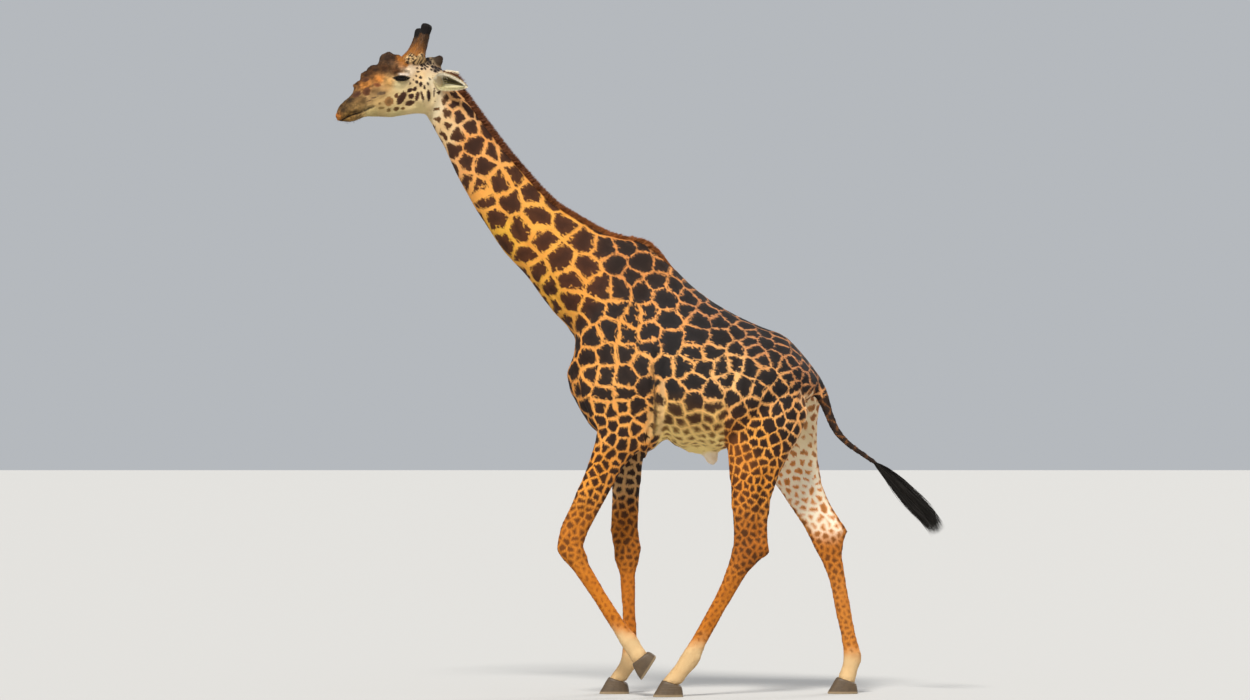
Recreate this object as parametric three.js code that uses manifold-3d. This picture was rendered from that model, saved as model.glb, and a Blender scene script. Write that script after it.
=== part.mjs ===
// A Masai giraffe bull at life size, walking, as a still museum model.
// Millimetres, +Z up, the animal walks towards -X and its left side faces -Y.
// The origin is on the floor, under the middle of the bounding box.
//
// Neck and trunk, skull, jaw, legs and tail are lofts: superellipse rings strung between an upper
// (or front) and a lower (or rear) line. They are joined into one body, which thin cuts then part
// into named lengths. Ears, horns, mane, eyes, claws and tail tuft are pieces of their own that stand
// GAP clear of the body.

import * as THREE from "three";
import { mergeVertices } from "three/addons/utils/BufferGeometryUtils.js";
import Module from "manifold-3d";

const wasm = await Module();
wasm.setup();

// ---------------------------------------------------------------- driving dimensions

const GAP = 0.4; // clear space between neighbouring pieces
const EYE_RADIUS = 33;
const UNDER_BELLY = 1630; // a level that only legs pass through
const MANE_CLEARANCE = 1.5; // the mane's foot over the ridge of the neck

const FORE = { forearm: 825, cannon: 755, liftedPastern: 128 };
const HIND = { gaskin: 812, cannon: 835 };
const TO_HOOF = null; // a pastern that reaches down to the coronet of a standing hoof
const STUB = 60; // each leg runs on this far, to be cut off along the coronet

const HOOF = {
  coronetLength: 132,
  coronetFront: 116, // height of the coronet band over the sole at the toe
  coronetHeel: 72,
  soleLength: 208,
  clawWidth: 74,
  cleft: 7, // between the two claws
};

// The head is modelled about the poll, then turned a little to the left and tipped away.
const POLL = new THREE.Vector3(-1319, 0, 4148);
const HEAD_YAW = 16;
const HEAD_ROLL = 7;

const COLOURS = {
  coat: { color: 0xc07a35, roughness: 0.8 },
  mane: { color: 0x5e3218, roughness: 0.85 },
  ear: { color: 0xe0cfa8, roughness: 0.8 },
  horn: { color: 0x4a3220, roughness: 0.75 },
  hoof: { color: 0x3f3128, roughness: 0.55 },
  tuft: { color: 0x17140f, roughness: 0.7 },
  eye: { color: 0x140d09, roughness: 0.08 },
};

// ---------------------------------------------------------------- curves and rings

const radians = THREE.MathUtils.degToRad;

// Smooth value of a table column at a place between two rows (Hermite, tangents by finite difference).
function columnAt(rows, places, column, place) {
  let i = places.findIndex((p, k) => k > 0 && place <= p) - 1;
  if (i < 0) i = places.length - 2;
  const slope = (k) => {
    const a = Math.max(0, k - 1);
    const b = Math.min(rows.length - 1, k + 1);
    return (rows[b][column] - rows[a][column]) / (places[b] - places[a]);
  };
  const span = places[i + 1] - places[i];
  const t = THREE.MathUtils.clamp((place - places[i]) / span, 0, 1);
  const p0 = rows[i][column];
  const p1 = rows[i + 1][column];
  const m0 = slope(i) * span;
  const m1 = slope(i + 1) * span;
  return (
    p0 * (2 * t ** 3 - 3 * t * t + 1) +
    m0 * (t ** 3 - 2 * t * t + t) +
    p1 * (3 * t * t - 2 * t ** 3) +
    m1 * (t ** 3 - t * t)
  );
}

const power = (value, exponent) => Math.sign(value) * Math.abs(value) ** exponent;

// A ring between an upper and a lower point: a superellipse, widest at the share `widest` of the way
// down. peak and keel are the exponents of its upper and lower half: 2 is round, less is ridged.
function ring({ upper, lower, y, half, peak = 2, keel = 2, widest = 0.5 }, sides, grow = 0) {
  const down = new THREE.Vector3(lower[0] - upper[0], 0, lower[1] - upper[1]);
  const depth = down.length();
  down.normalize();
  const middle = new THREE.Vector3(upper[0], y, upper[1]).addScaledVector(down, widest * depth);
  const points = [];
  for (let k = 0; k < sides; k++) {
    const angle = (2 * Math.PI * (k + 0.5)) / sides;
    const rise = Math.sin(angle);
    const exponent = 2 / (rise > 0 ? peak : keel);
    const reach = (rise > 0 ? widest : 1 - widest) * depth + grow;
    points.push(
      middle
        .clone()
        .addScaledVector(down, -reach * power(rise, exponent))
        .add(new THREE.Vector3(0, (half + grow) * power(Math.cos(angle), exponent), 0)),
    );
  }
  return points;
}

// Closed mesh through rings of equal size, each end closed by a fan.
function skinOver(rings) {
  const sides = rings[0].length;
  const positions = [];
  const index = [];
  const push = (p) => positions.push(p.x, p.y, p.z) / 3 - 1;
  rings.forEach((points) => points.forEach(push));
  for (let i = 0; i + 1 < rings.length; i++) {
    for (let k = 0; k < sides; k++) {
      const a = i * sides + k;
      const b = i * sides + ((k + 1) % sides);
      index.push(a, b, b + sides, a, b + sides, a + sides);
    }
  }
  [0, rings.length - 1].forEach((i) => {
    const centre = rings[i].reduce((sum, p) => sum.add(p), new THREE.Vector3()).divideScalar(sides);
    const c = push(centre);
    for (let k = 0; k < sides; k++) {
      const a = i * sides + k;
      const b = i * sides + ((k + 1) % sides);
      index.push(...(i === 0 ? [a, c, b] : [a, b, c]));
    }
  });
  const geometry = new THREE.BufferGeometry();
  geometry.setAttribute("position", new THREE.Float32BufferAttribute(positions, 3));
  geometry.setIndex(index);
  return geometry;
}

// Rings along a table of sections, about `step` apart.
// Rows: upper x, upper z, lower x, lower z, half width, peak, keel, widest, y
function profileRings(rows, sides, step, grow = 0) {
  const full = rows.map((r) => [...r.slice(0, 5), r[5] ?? 2, r[6] ?? 2, r[7] ?? 0.5, r[8] ?? 0]);
  const places = [0];
  for (let i = 1; i < full.length; i++) {
    const [a, b] = [full[i - 1], full[i]];
    const upper = Math.hypot(b[0] - a[0], b[1] - a[1]);
    const lower = Math.hypot(b[2] - a[2], b[3] - a[3]);
    places.push(places[i - 1] + (upper + lower) / 2);
  }
  const length = places.at(-1);
  const count = Math.max(2, Math.round(length / step));
  const rings = [];
  for (let i = 0; i <= count; i++) {
    const value = (column) => columnAt(full, places, column, (length * i) / count);
    rings.push(
      ring(
        {
          upper: [value(0), value(1)],
          lower: [value(2), value(3)],
          half: value(4),
          peak: value(5),
          keel: value(6),
          widest: value(7),
          y: value(8),
        },
        sides,
        grow,
      ),
    );
  }
  return rings;
}

// ---------------------------------------------------------------- solids

// A closed geometry as a manifold solid, turned round if its faces point inwards.
function solid(geometry) {
  const bare = geometry.clone();
  bare.deleteAttribute("normal");
  bare.deleteAttribute("uv");
  const merged = mergeVertices(bare, 1e-3);
  const vertProperties = merged.attributes.position.array;
  const triVerts = new Uint32Array(merged.index.array);
  const made = new wasm.Manifold(new wasm.Mesh({ numProp: 3, vertProperties, triVerts }));
  if (made.volume() > 0) return made;
  for (let i = 0; i < triVerts.length; i += 3) {
    [triVerts[i + 1], triVerts[i + 2]] = [triVerts[i + 2], triVerts[i + 1]];
  }
  return new wasm.Manifold(new wasm.Mesh({ numProp: 3, vertProperties, triVerts }));
}

const joined = (solids) => solids.reduce((sum, one) => sum.add(one));

function ellipsoid(centre, radii, grow = 0, detail = 7) {
  const ball = new THREE.SphereGeometry(1, detail, Math.round(detail * 0.7));
  ball.scale(radii[0] + grow, radii[1] + grow, radii[2] + grow);
  return ball.translate(...centre);
}

// A block whose near face is centred on a point and which reaches away along a direction in the XZ plane.
function block(at, direction, size) {
  const away = new THREE.Vector3(direction[0], 0, direction[1]).normalize();
  const box = new THREE.BoxGeometry(size.reach, size.y, size.across);
  box.translate(size.reach / 2, 0, 0);
  box.rotateY(-Math.atan2(away.z, away.x));
  return solid(box.translate(at[0], size.middle ?? 0, at[1]));
}

// Parts a body at a block's near face: [what stays, what the block takes], GAP apart.
// A second block may reach further, such as the one under the belly that takes the rest of a leg.
function part(body, at, direction, size, second) {
  const away = new THREE.Vector2(...direction).normalize().multiplyScalar(GAP);
  const blocks = (grow) => {
    const start = [at[0] + away.x * (1 - grow), at[1] + away.y * (1 - grow)];
    const more = 2 * GAP * grow;
    const first = block(start, direction, {
      reach: size.reach + more,
      y: size.y + more,
      across: size.across + more,
      middle: size.middle,
    });
    if (!second) return first;
    const box = new THREE.BoxGeometry(...second.size.map((length) => length + more));
    return first.add(solid(box.translate(...second.middle)));
  };
  return [body.subtract(blocks(1)), body.intersect(blocks(0))];
}

function geometryOf(manifold) {
  const mesh = manifold.getMesh();
  const geometry = new THREE.BufferGeometry();
  const positions = new Float32Array(mesh.numVert * 3);
  for (let i = 0; i < mesh.numVert; i++) {
    for (let axis = 0; axis < 3; axis++) {
      positions[3 * i + axis] = mesh.vertProperties[i * mesh.numProp + axis];
    }
  }
  geometry.setAttribute("position", new THREE.BufferAttribute(positions, 3));
  geometry.setIndex(new THREE.BufferAttribute(mesh.triVerts, 1));
  return geometry;
}

// ---------------------------------------------------------------- neck and trunk

// From the poll down the neck, over the withers and along the back to the root of the tail.
// upper x, z | lower x, z | half width | peak, keel, widest
const TORSO = [
  [-1330, 4215, -1478, 3985, 78, 2.0, 2.0, 0.5],
  [-1247, 4143, -1408, 3872, 98, 1.9, 2.0, 0.5],
  [-1078, 3921, -1344, 3752, 106, 1.8, 2.1, 0.52],
  [-819, 3592, -1149, 3366, 126, 1.75, 2.1, 0.54],
  [-601, 3359, -945, 3046, 150, 1.7, 2.1, 0.54],
  [-390, 3222, -741, 2815, 178, 1.65, 2.1, 0.54],
  [-226, 3138, -592, 2608, 205, 1.6, 2.1, 0.55],
  [-112, 3112, -468, 2478, 226, 1.5, 2.1, 0.56],
  [-27, 3100, -430, 2373, 240, 1.45, 2.1, 0.58],
  [48, 3072, -494, 2190, 255, 1.45, 2.1, 0.6],
  [85, 3044, -494, 2108, 266, 1.47, 2.1, 0.6],
  [122, 3014, -452, 2020, 278, 1.5, 2.1, 0.6],
  [190, 2951, -333, 1826, 305, 1.55, 2.0, 0.6],
  [279, 2870, -184, 1716, 335, 1.6, 1.9, 0.6],
  [394, 2761, 20, 1690, 372, 1.7, 1.9, 0.6],
  [537, 2662, 200, 1700, 408, 1.75, 2.0, 0.6],
  [673, 2584, 367, 1669, 425, 1.8, 2.1, 0.6],
  [796, 2523, 524, 1659, 420, 1.85, 2.1, 0.58],
  [898, 2485, 687, 1702, 392, 1.9, 2.1, 0.56],
  [986, 2451, 836, 1802, 350, 1.9, 2.0, 0.54],
  [1068, 2376, 959, 1897, 300, 1.9, 2.0, 0.52],
  [1142, 2292, 1068, 1952, 238, 1.9, 2.0, 0.5],
  [1203, 2210, 1149, 1992, 150, 2.0, 2.0, 0.5],
  [1238, 2150, 1204, 2050, 60, 2.0, 2.0, 0.5],
];

const torso = (grow) => solid(skinOver(profileRings(TORSO, 22, 96, grow)));

// ---------------------------------------------------------------- legs

const hoofMiddle = (HOOF.coronetFront + HOOF.coronetHeel) / 2;

// Joints from a start point down a chain of bones: [length, swing], swing in degrees forward of
// straight down.
function chain(start, bones) {
  const joints = [start];
  bones.forEach(([bone, swing]) => {
    const [x, z] = joints.at(-1);
    const length = bone ?? (z - hoofMiddle) / Math.cos(radians(swing));
    joints.push([x - length * Math.sin(radians(swing)), z - length * Math.cos(radians(swing))]);
  });
  return joints;
}

// Girths down a leg: place (joint number plus the share of the bone below it), then the distance from
// the bone line to the front, to the rear and to each side.
const FORE_GIRTHS = [
  [0.0, 90, 100, 40],
  [0.45, 190, 225, 98],
  [1.0, 285, 290, 118],
  [1.5, 228, 262, 110],
  [2.0, 142, 222, 94],
  [2.12, 126, 165, 82],
  [2.25, 117, 122, 72],
  [2.45, 106, 104, 63],
  [2.65, 106, 90, 56],
  [2.84, 118, 88, 55],
  [3.0, 90, 104, 61],
  [3.09, 90, 94, 60],
  [3.22, 60, 62, 47],
  [3.5, 51, 53, 39],
  [3.8, 52, 55, 40],
  [3.93, 59, 66, 49],
  [4.12, 62, 72, 53],
  [4.5, 57, 61, 52],
  [5.0, 67, 65, 66],
  [6.0, 74, 70, 70],
];

const HIND_GIRTHS = [
  [0.0, 100, 40, 40],
  [0.35, 205, 212, 104],
  [0.7, 256, 288, 130],
  [1.0, 255, 268, 122],
  [1.18, 238, 208, 108],
  [1.37, 208, 146, 90],
  [1.57, 174, 108, 73],
  [1.75, 150, 104, 60],
  [1.9, 136, 122, 55],
  [2.0, 132, 142, 59],
  [2.07, 116, 104, 58],
  [2.18, 88, 70, 50],
  [2.35, 63, 62, 43],
  [2.6, 58, 60, 40],
  [2.85, 56, 57, 41],
  [2.95, 60, 66, 49],
  [3.1, 64, 76, 54],
  [3.5, 58, 62, 52],
  [4.0, 67, 65, 66],
  [5.0, 74, 70, 70],
];

// Where each leg stands. side: -1 left, +1 right. spread: distance of each joint from the middle plane.
const LEGS = {
  fore_left: {
    side: -1,
    girths: FORE_GIRTHS,
    spread: [110, 212, 222, 206, 195, 192, 192],
    joints: [
      [-20, 2740],
      [-129, 2108],
      ...chain([-150, 1762], [
        [FORE.forearm, 23.2],
        [FORE.cannon, -32.4],
        [FORE.liftedPastern, -36],
        [STUB, -36],
      ]),
    ],
    hoofTurn: 57,
  },
  fore_right: {
    side: 1,
    girths: FORE_GIRTHS,
    spread: [110, 212, 220, 200, 188, 186, 186],
    joints: [
      [-20, 2740],
      [-95, 2108],
      ...chain([-90, 1812], [
        [FORE.forearm, -0.4],
        [FORE.cannon, -2],
        [TO_HOOF, 31],
        [STUB, 31],
      ]),
    ],
    hoofTurn: 0,
  },
  hind_left: {
    side: -1,
    girths: HIND_GIRTHS,
    spread: [140, 222, 208, 198, 196, 196],
    joints: [
      [940, 2330],
      ...chain([838, 1810], [
        [HIND.gaskin, 6],
        [HIND.cannon, 29],
        [TO_HOOF, 35],
        [STUB, 35],
      ]),
    ],
    hoofTurn: 0,
  },
  hind_right: {
    side: 1,
    girths: HIND_GIRTHS,
    spread: [140, 222, 206, 196, 194, 194],
    joints: [
      [940, 2330],
      ...chain([975, 1815], [
        [HIND.gaskin, -23.6],
        [HIND.cannon, -11],
        [TO_HOOF, 14],
        [STUB, 14],
      ]),
    ],
    hoofTurn: 0,
  },
};

const direction = (a, b) => new THREE.Vector2(b[0] - a[0], b[1] - a[1]).normalize();

// A leg's rings: square to the bones along them, and turning to the bisector at each joint.
function legRings({ side, girths, spread, joints }, sides, grow = 0) {
  const places = girths.map((row) => row[0]);
  const wanted = places.flatMap((place, i) => {
    const next = places[i + 1];
    return next - place > 0.4 ? [place, (place + next) / 2] : [place];
  });
  const last = joints.length - 2;
  const boneWay = (i) => direction(joints[i], joints[i + 1]);
  const bisector = (i) => {
    if (i === 0) return boneWay(0);
    return i > last ? boneWay(last) : boneWay(i - 1).add(boneWay(i)).normalize();
  };
  return wanted.map((place) => {
    const bone = Math.min(Math.floor(place), last);
    const share = place - bone;
    const [a, b] = [joints[bone], joints[bone + 1]];
    const centre = [a[0] + (b[0] - a[0]) * share, a[1] + (b[1] - a[1]) * share];
    const near = share < 0.5 ? bisector(bone) : bisector(bone + 1);
    const pull = THREE.MathUtils.smoothstep(Math.abs(share - 0.5), 0.2, 0.5);
    const way = boneWay(bone).lerp(near, pull).normalize();
    const front = new THREE.Vector2(way.y, -way.x); // straight down turns to -X
    const at = (column) => columnAt(girths, places, column, place);
    const offset = (distance) => [centre[0] + front.x * distance, centre[1] + front.y * distance];
    return ring(
      {
        upper: offset(at(1)),
        lower: offset(-at(2)),
        half: at(3),
        widest: at(1) / (at(1) + at(2)),
        y: side * (spread[bone] + (spread[bone + 1] - spread[bone]) * share),
      },
      sides,
      grow,
    );
  });
}

const leg = (pose, grow) => solid(skinOver(legRings(pose, 10, grow)));

// One claw of a hoof, sole down with the toe towards -X, its inner wall at y = cleft / 2.
function claw() {
  const levels = 3;
  const sides = 14;
  const { coronetLength, coronetFront, coronetHeel, soleLength, clawWidth, cleft } = HOOF;
  const rings = [];
  for (let i = 0; i <= levels; i++) {
    const t = i / levels; // coronet to sole
    const length = THREE.MathUtils.lerp(coronetLength, soleLength, t ** 0.8);
    const width = THREE.MathUtils.lerp(clawWidth - 8, clawWidth, t);
    const shift = THREE.MathUtils.lerp(14, -14, t); // the toe wall leans forward
    const points = [];
    for (let k = 0; k < sides; k++) {
      const angle = (2 * Math.PI * k) / sides;
      const along = -Math.cos(angle); // -1 at the toe
      const across = power(Math.sin(angle), 0.8) * (1 - 0.16 * Math.max(0, -along));
      const x = shift + (along * length) / 2;
      const y = cleft / 2 + (1 + across) * (width / 2);
      const share = (along + 1) / 2;
      const top = THREE.MathUtils.lerp(coronetFront, coronetHeel, share) - GAP;
      points.push(new THREE.Vector3(x, y, top * (1 - t)));
    }
    rings.push(points);
  }
  return skinOver(rings);
}

// Both claws of a foot, with the middle of the coronet at the leg's last joint but one.
function hoof(name, pose) {
  const [x, z] = pose.joints.at(-2);
  return ["inner", "outer"].map((which) => {
    const geometry = claw();
    const outward = which === "outer" ? pose.side : -pose.side;
    geometry.scale(1, outward, 1);
    geometry.translate(-14, 0, -hoofMiddle);
    geometry.rotateY(-radians(pose.hoofTurn));
    geometry.translate(x, pose.side * pose.spread.at(-1), z);
    return [`hoof_${name}_${which}`, solid(geometry)];
  });
}

// The end of a leg is cut off along the coronet, which falls from the toe to the heel.
function footless(pose) {
  const fall = Math.atan2(HOOF.coronetFront - HOOF.coronetHeel, HOOF.coronetLength);
  const turn = fall - radians(pose.hoofTurn);
  const down = [Math.sin(-turn), -Math.cos(turn)];
  const cut = block(pose.joints.at(-2), down, { reach: 300, y: 900, across: 300 });
  return leg(pose, 0).subtract(cut);
}

// ---------------------------------------------------------------- head

// Skull and upper lip, about the poll. Rows as for the torso.
const SKULL = [
  [-774, -222, -758, -268, 20, 2.0, 2.0, 0.5],
  [-767, -186, -746, -278, 38, 2.1, 2.1, 0.55],
  [-742, -149, -720, -266, 50, 2.1, 2.1, 0.58],
  [-706, -117, -680, -236, 56, 2.0, 2.2, 0.58],
  [-668, -86, -628, -210, 58, 1.9, 2.2, 0.58],
  [-634, -38, -573, -201, 61, 1.8, 2.2, 0.58],
  [-587, 38, -502, -201, 70, 1.7, 2.2, 0.58],
  [-530, 92, -431, -204, 84, 1.8, 2.2, 0.55],
  [-460, 130, -361, -204, 102, 2.0, 2.2, 0.5],
  [-382, 156, -290, -190, 121, 2.2, 2.1, 0.44],
  [-297, 170, -226, -187, 128, 2.3, 2.1, 0.42],
  [-205, 172, -163, -190, 120, 2.3, 2.0, 0.45],
  [-113, 162, -106, -197, 106, 2.2, 2.0, 0.48],
  [-35, 130, -57, -190, 94, 2.1, 2.0, 0.5],
  [20, 60, -20, -150, 60, 2.0, 2.0, 0.5],
];

// Lower jaw, from the lip back to its angle.
const JAW = [
  [-727, -244, -721, -270, 22],
  [-710, -234, -698, -284, 38],
  [-680, -218, -658, -284, 43],
  [-643, -197, -618, -252, 42],
  [-587, -177, -566, -233, 39],
  [-502, -163, -481, -231, 42],
  [-403, -156, -389, -235, 54],
  [-304, -143, -297, -219, 68],
  [-219, -122, -208, -203, 80],
  [-132, -102, -124, -206, 78],
];

// Bony growths and the swell of cheeks, brows and lips: x, y, z, then the three radii. y > 0 means a pair.
const LUMPS = [
  [-396, 0, 152, 70, 62, 72], // median horn
  [-330, 0, 162, 40, 56, 36],
  [-494, 0, 92, 54, 44, 46], // ridge of the nose
  [-558, 0, 44, 44, 36, 40],
  [-604, 0, -16, 34, 32, 32],
  [-440, 48, 100, 56, 36, 40],
  [-300, 88, 112, 84, 38, 38], // brows
  [-42, 38, 158, 34, 26, 42], // behind the horns
  [-104, 34, 146, 66, 42, 50], // crown between horns and poll
  [-196, 84, -72, 82, 32, 94], // chewing muscle
  [-704, 34, -186, 40, 22, 34], // upper lip and nostril
];

const NOSTRIL = { at: [-672, 47, -128], radii: [30, 9, 8], tilt: 38 };
const EYE_AT = [-329, 104, 22];

const headPose = new THREE.Matrix4()
  .makeTranslation(POLL)
  .multiply(new THREE.Matrix4().makeRotationZ(radians(HEAD_YAW)))
  .multiply(new THREE.Matrix4().makeRotationX(-radians(HEAD_ROLL)));

const inHead = (geometry) => solid(geometry.applyMatrix4(headPose));
const bothSides = (y) => (y === 0 ? [0] : [-y, y]);

function head(grow) {
  const pieces = [
    skinOver(profileRings(SKULL, 14, 56, grow)),
    skinOver(profileRings(JAW, 8, 90, grow)),
  ];
  LUMPS.forEach(([x, y, z, ...radii]) =>
    bothSides(y).forEach((at) => pieces.push(ellipsoid([x, at, z], radii, grow))),
  );
  return joined(pieces.map(inHead));
}

function nostrils() {
  return joined(
    bothSides(NOSTRIL.at[1]).map((y) => {
      const slit = ellipsoid([0, 0, 0], NOSTRIL.radii, 0, 8).rotateY(-radians(NOSTRIL.tilt));
      return inHead(slit.translate(NOSTRIL.at[0], y, NOSTRIL.at[2]));
    }),
  );
}

const eyeball = (side, grow = 0) => {
  const [x, y, z] = EYE_AT;
  const radii = Array(3).fill(EYE_RADIUS);
  return inHead(ellipsoid([x, side * y, z], radii, grow, 12));
};

// A horn from its foot on the skull to its blunt, knobbed tip.
const HORN = { foot: [-212, 70, 138], tip: [-136, 92, 396], radii: [80, 59, 46, 38, 34, 37, 37, 22] };

function horn(side) {
  const foot = new THREE.Vector3(...HORN.foot);
  const tip = new THREE.Vector3(...HORN.tip);
  const upright = new THREE.Vector3().subVectors(tip, foot);
  const turn = new THREE.Quaternion().setFromUnitVectors(
    new THREE.Vector3(0, 1, 0),
    upright.clone().normalize(),
  );
  const last = HORN.radii.length - 1;
  const outline = HORN.radii.map(
    (radius, i) => new THREE.Vector2(radius, upright.length() * Math.min(1, (i / last) * 1.06)),
  );
  const profile = [new THREE.Vector2(0, 0), ...outline, new THREE.Vector2(0, upright.length() * 1.02)];
  const geometry = new THREE.LatheGeometry(profile, 10).applyQuaternion(turn);
  geometry.translate(...HORN.foot).scale(1, side, 1);
  return inHead(geometry);
}

// A cupped leaf: crescent rings from the root to the tip. open: where the hollow faces.
const EAR_LENGTHS = [0, 0.12, 0.28, 0.46, 0.64, 0.8, 0.92, 1];
const EAR_HALF_WIDTHS = [26, 40, 57, 64, 56, 38, 20, 5];
const EAR_THICKNESS = 9;

function ear({ root, tip, open }) {
  const from = new THREE.Vector3(...root);
  const axis = new THREE.Vector3(...tip).sub(from);
  const way = axis.clone().normalize();
  const facing = new THREE.Vector3(...open);
  facing.addScaledVector(way, -facing.dot(way)).normalize();
  const across = new THREE.Vector3().crossVectors(way, facing);
  const steps = 5;
  const rings = EAR_LENGTHS.map((share, i) => {
    const half = EAR_HALF_WIDTHS[i];
    const cup = half * 0.62 * (1 - 0.5 * share);
    const centre = from.clone().addScaledVector(axis, share);
    const place = (u, depth) =>
      centre
        .clone()
        .addScaledVector(across, u * half)
        .addScaledVector(facing, -depth);
    const thick = Math.max(3, EAR_THICKNESS * (1 - 0.5 * share));
    const points = [];
    for (let k = 0; k <= steps; k++) {
      const u = -1 + (2 * k) / steps;
      points.push(place(u, cup * (1 - u * u) + thick * Math.sqrt(1 - 0.75 * u * u)));
    }
    for (let k = steps; k >= 0; k--) {
      const u = (-1 + (2 * k) / steps) * 0.97;
      points.push(place(u, cup * (1 - u * u) * 0.98));
    }
    return points;
  });
  return skinOver(rings);
}

const EARS = {
  left: { root: [-92, -88, 28], tip: [118, -252, -62], open: [0.1, -0.8, -0.5] },
  right: { root: [-92, 88, 34], tip: [140, 190, 142], open: [-0.3, 0.8, 0.1] },
};

// ---------------------------------------------------------------- mane, tail and sheath

// The upright mane stands on the ridge of the neck, from behind the poll to the back of the withers.
// share of the way along TORSO's rows | height | half width
const MANE = [
  [0.2, 36, 13],
  [0.5, 50, 15],
  [1, 52, 17],
  [2, 47, 18],
  [4, 41, 17],
  [6, 32, 15],
  [8, 22, 13],
  [10, 17, 11],
  [11.4, 6, 6],
];

function mane() {
  const rows = TORSO.map((row, i) => i);
  const rings = [];
  for (let share = MANE[0][0]; share <= MANE.at(-1)[0]; share += 0.54) {
    const at = (column, place = share) => columnAt(TORSO, rows, column, place);
    const ridge = new THREE.Vector2(at(0), at(1));
    const along = new THREE.Vector2(at(0, share + 0.1), at(1, share + 0.1)).sub(ridge).normalize();
    const away = new THREE.Vector2(-along.y, along.x).multiplyScalar(Math.sign(along.x));
    const value = (column) => columnAt(MANE, MANE.map((row) => row[0]), column, share);
    const crest = ridge.clone().addScaledVector(away, value(1));
    const foot = ridge.clone().addScaledVector(away, MANE_CLEARANCE);
    const section = { upper: crest.toArray(), lower: foot.toArray(), y: 0, half: value(2) };
    rings.push(ring({ ...section, keel: 5 }, 8));
  }
  return solid(skinOver(rings));
}

// The tail swings out behind and to the right of the hocks, and ends in a long tuft.
const TAIL = [
  [1150, 2262, 1120, 2150, 60, 2, 2, 0.5, 0],
  [1218, 2200, 1172, 2050, 46, 2, 2, 0.5, 0],
  [1268, 2118, 1196, 2020, 38, 2, 2, 0.5, 0],
  [1302, 2010, 1234, 1955, 32, 2, 2, 0.5, 0],
  [1330, 1905, 1270, 1868, 28, 2, 2, 0.5, 0],
  [1376, 1802, 1324, 1766, 24, 2, 2, 0.5, 0],
  [1450, 1722, 1412, 1682, 21, 2, 2, 0.5, 0],
  [1540, 1655, 1510, 1616, 19, 2, 2, 0.5, 0],
  [1625, 1594, 1600, 1556, 18, 2, 2, 0.5, 0],
];

const TUFT = [
  [1634, 1600, 1594, 1548, 26, 2, 2, 0.5, 0],
  [1680, 1610, 1598, 1508, 44, 2, 2, 0.5, 0],
  [1742, 1584, 1650, 1440, 52, 2, 2, 0.5, 0],
  [1800, 1510, 1716, 1372, 54, 2, 2, 0.5, 0],
  [1880, 1432, 1790, 1296, 54, 2, 2, 0.5, 0],
  [1960, 1352, 1862, 1212, 50, 2, 2, 0.5, 0],
  [2022, 1268, 1936, 1134, 42, 2, 2, 0.5, 0],
  [2058, 1190, 1996, 1076, 24, 2, 2, 0.5, 0],
];

const belongings = (grow) => [
  solid(skinOver(profileRings(TAIL, 10, 70, grow))),
  solid(ellipsoid([430, 0, 1664], [120, 52, 46], grow, 9)), // sheath
  solid(ellipsoid([492, 0, 1606], [50, 34, 46], grow)),
  solid(ellipsoid([905, 0, 1800], [78, 66, 100], grow)),
];

// ---------------------------------------------------------------- the body, whole and parted

const nodes = {};
const withoutLegs = (grow) => joined([torso(grow), head(grow), ...belongings(grow)]);
const around = withoutLegs(GAP); // the body with a clearance round it, for what stands on it

let body = joined([withoutLegs(0), ...Object.values(LEGS).map(footless)])
  .subtract(nostrils())
  .subtract(eyeball(-1, GAP))
  .subtract(eyeball(1, GAP));

// Everything beyond a plane across the neck or tail, or below one across a limb.
const CUTS = [
  ["head", [-1352, 4080], [-0.949, 0.316], { reach: 900, y: 900, across: 1300 }],
  ["neck_upper", [-966, 3488], [-0.565, 0.825], { reach: 900, y: 900, across: 1000 }],
  ["neck_middle", [-558, 3033], [-0.758, 0.652], { reach: 700, y: 900, across: 1000 }],
  ["neck_lower", [-224, 2747], [-0.874, 0.486], { reach: 700, y: 900, across: 1000 }],
];
CUTS.forEach(([name, at, way, size]) => {
  [body, nodes[name]] = part(body, at, way, size);
});

const behindRump = { size: [500, 110, 500], middle: [1458, 0, 1750] };
const tailCut = { reach: 300, y: 110, across: 180 };
[body, nodes.tail] = part(body, [1240, 2030], [0.35, -0.94], tailCut, behindRump);

const SHOULDER_CUT = { at: [-190, 1905], way: [-0.385, -0.923], x: 720, inner: 72, low: [-1000, 120] };
const HIP_CUT = { at: [930, 2092], way: [-0.1, -0.995], x: 790, inner: 66, low: [120, 1900] };

Object.entries(LEGS).forEach(([name, pose]) => {
  const cut = name.startsWith("fore") ? SHOULDER_CUT : HIP_CUT;
  const width = 500;
  const middle = pose.side * (cut.inner + width / 2 + GAP);
  const size = { reach: 800, y: width, across: cut.x, middle };
  const [from, to] = cut.low;
  const low = {
    size: [to - from, width, UNDER_BELLY + 100],
    middle: [(from + to) / 2, middle, UNDER_BELLY / 2 - 50],
  };
  let limb;
  [body, limb] = part(body, cut.at, cut.way, size, low);
  const [knee, fetlock] = pose.joints.slice(-4);
  const way = direction(knee, fetlock).toArray();
  [nodes[`leg_${name}_upper`], nodes[`leg_${name}_lower`]] = part(limb, knee, way, {
    reach: 1200,
    y: 400,
    across: 500,
    middle: pose.side * 210,
  });
  hoof(name, pose).forEach(([hoofName, made]) => {
    nodes[hoofName] = made;
  });
});
nodes.trunk = body;

nodes.mane = mane().subtract(around);
nodes.tail_tuft = solid(skinOver(profileRings(TUFT, 10, 80))).subtract(around);
Object.entries({ left: -1, right: 1 }).forEach(([name, side]) => {
  nodes[`ear_${name}`] = inHead(ear(EARS[name])).subtract(around);
  nodes[`horn_${name}`] = horn(side).subtract(around);
  nodes[`eye_${name}`] = eyeball(side);
});

// ---------------------------------------------------------------- the model

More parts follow.
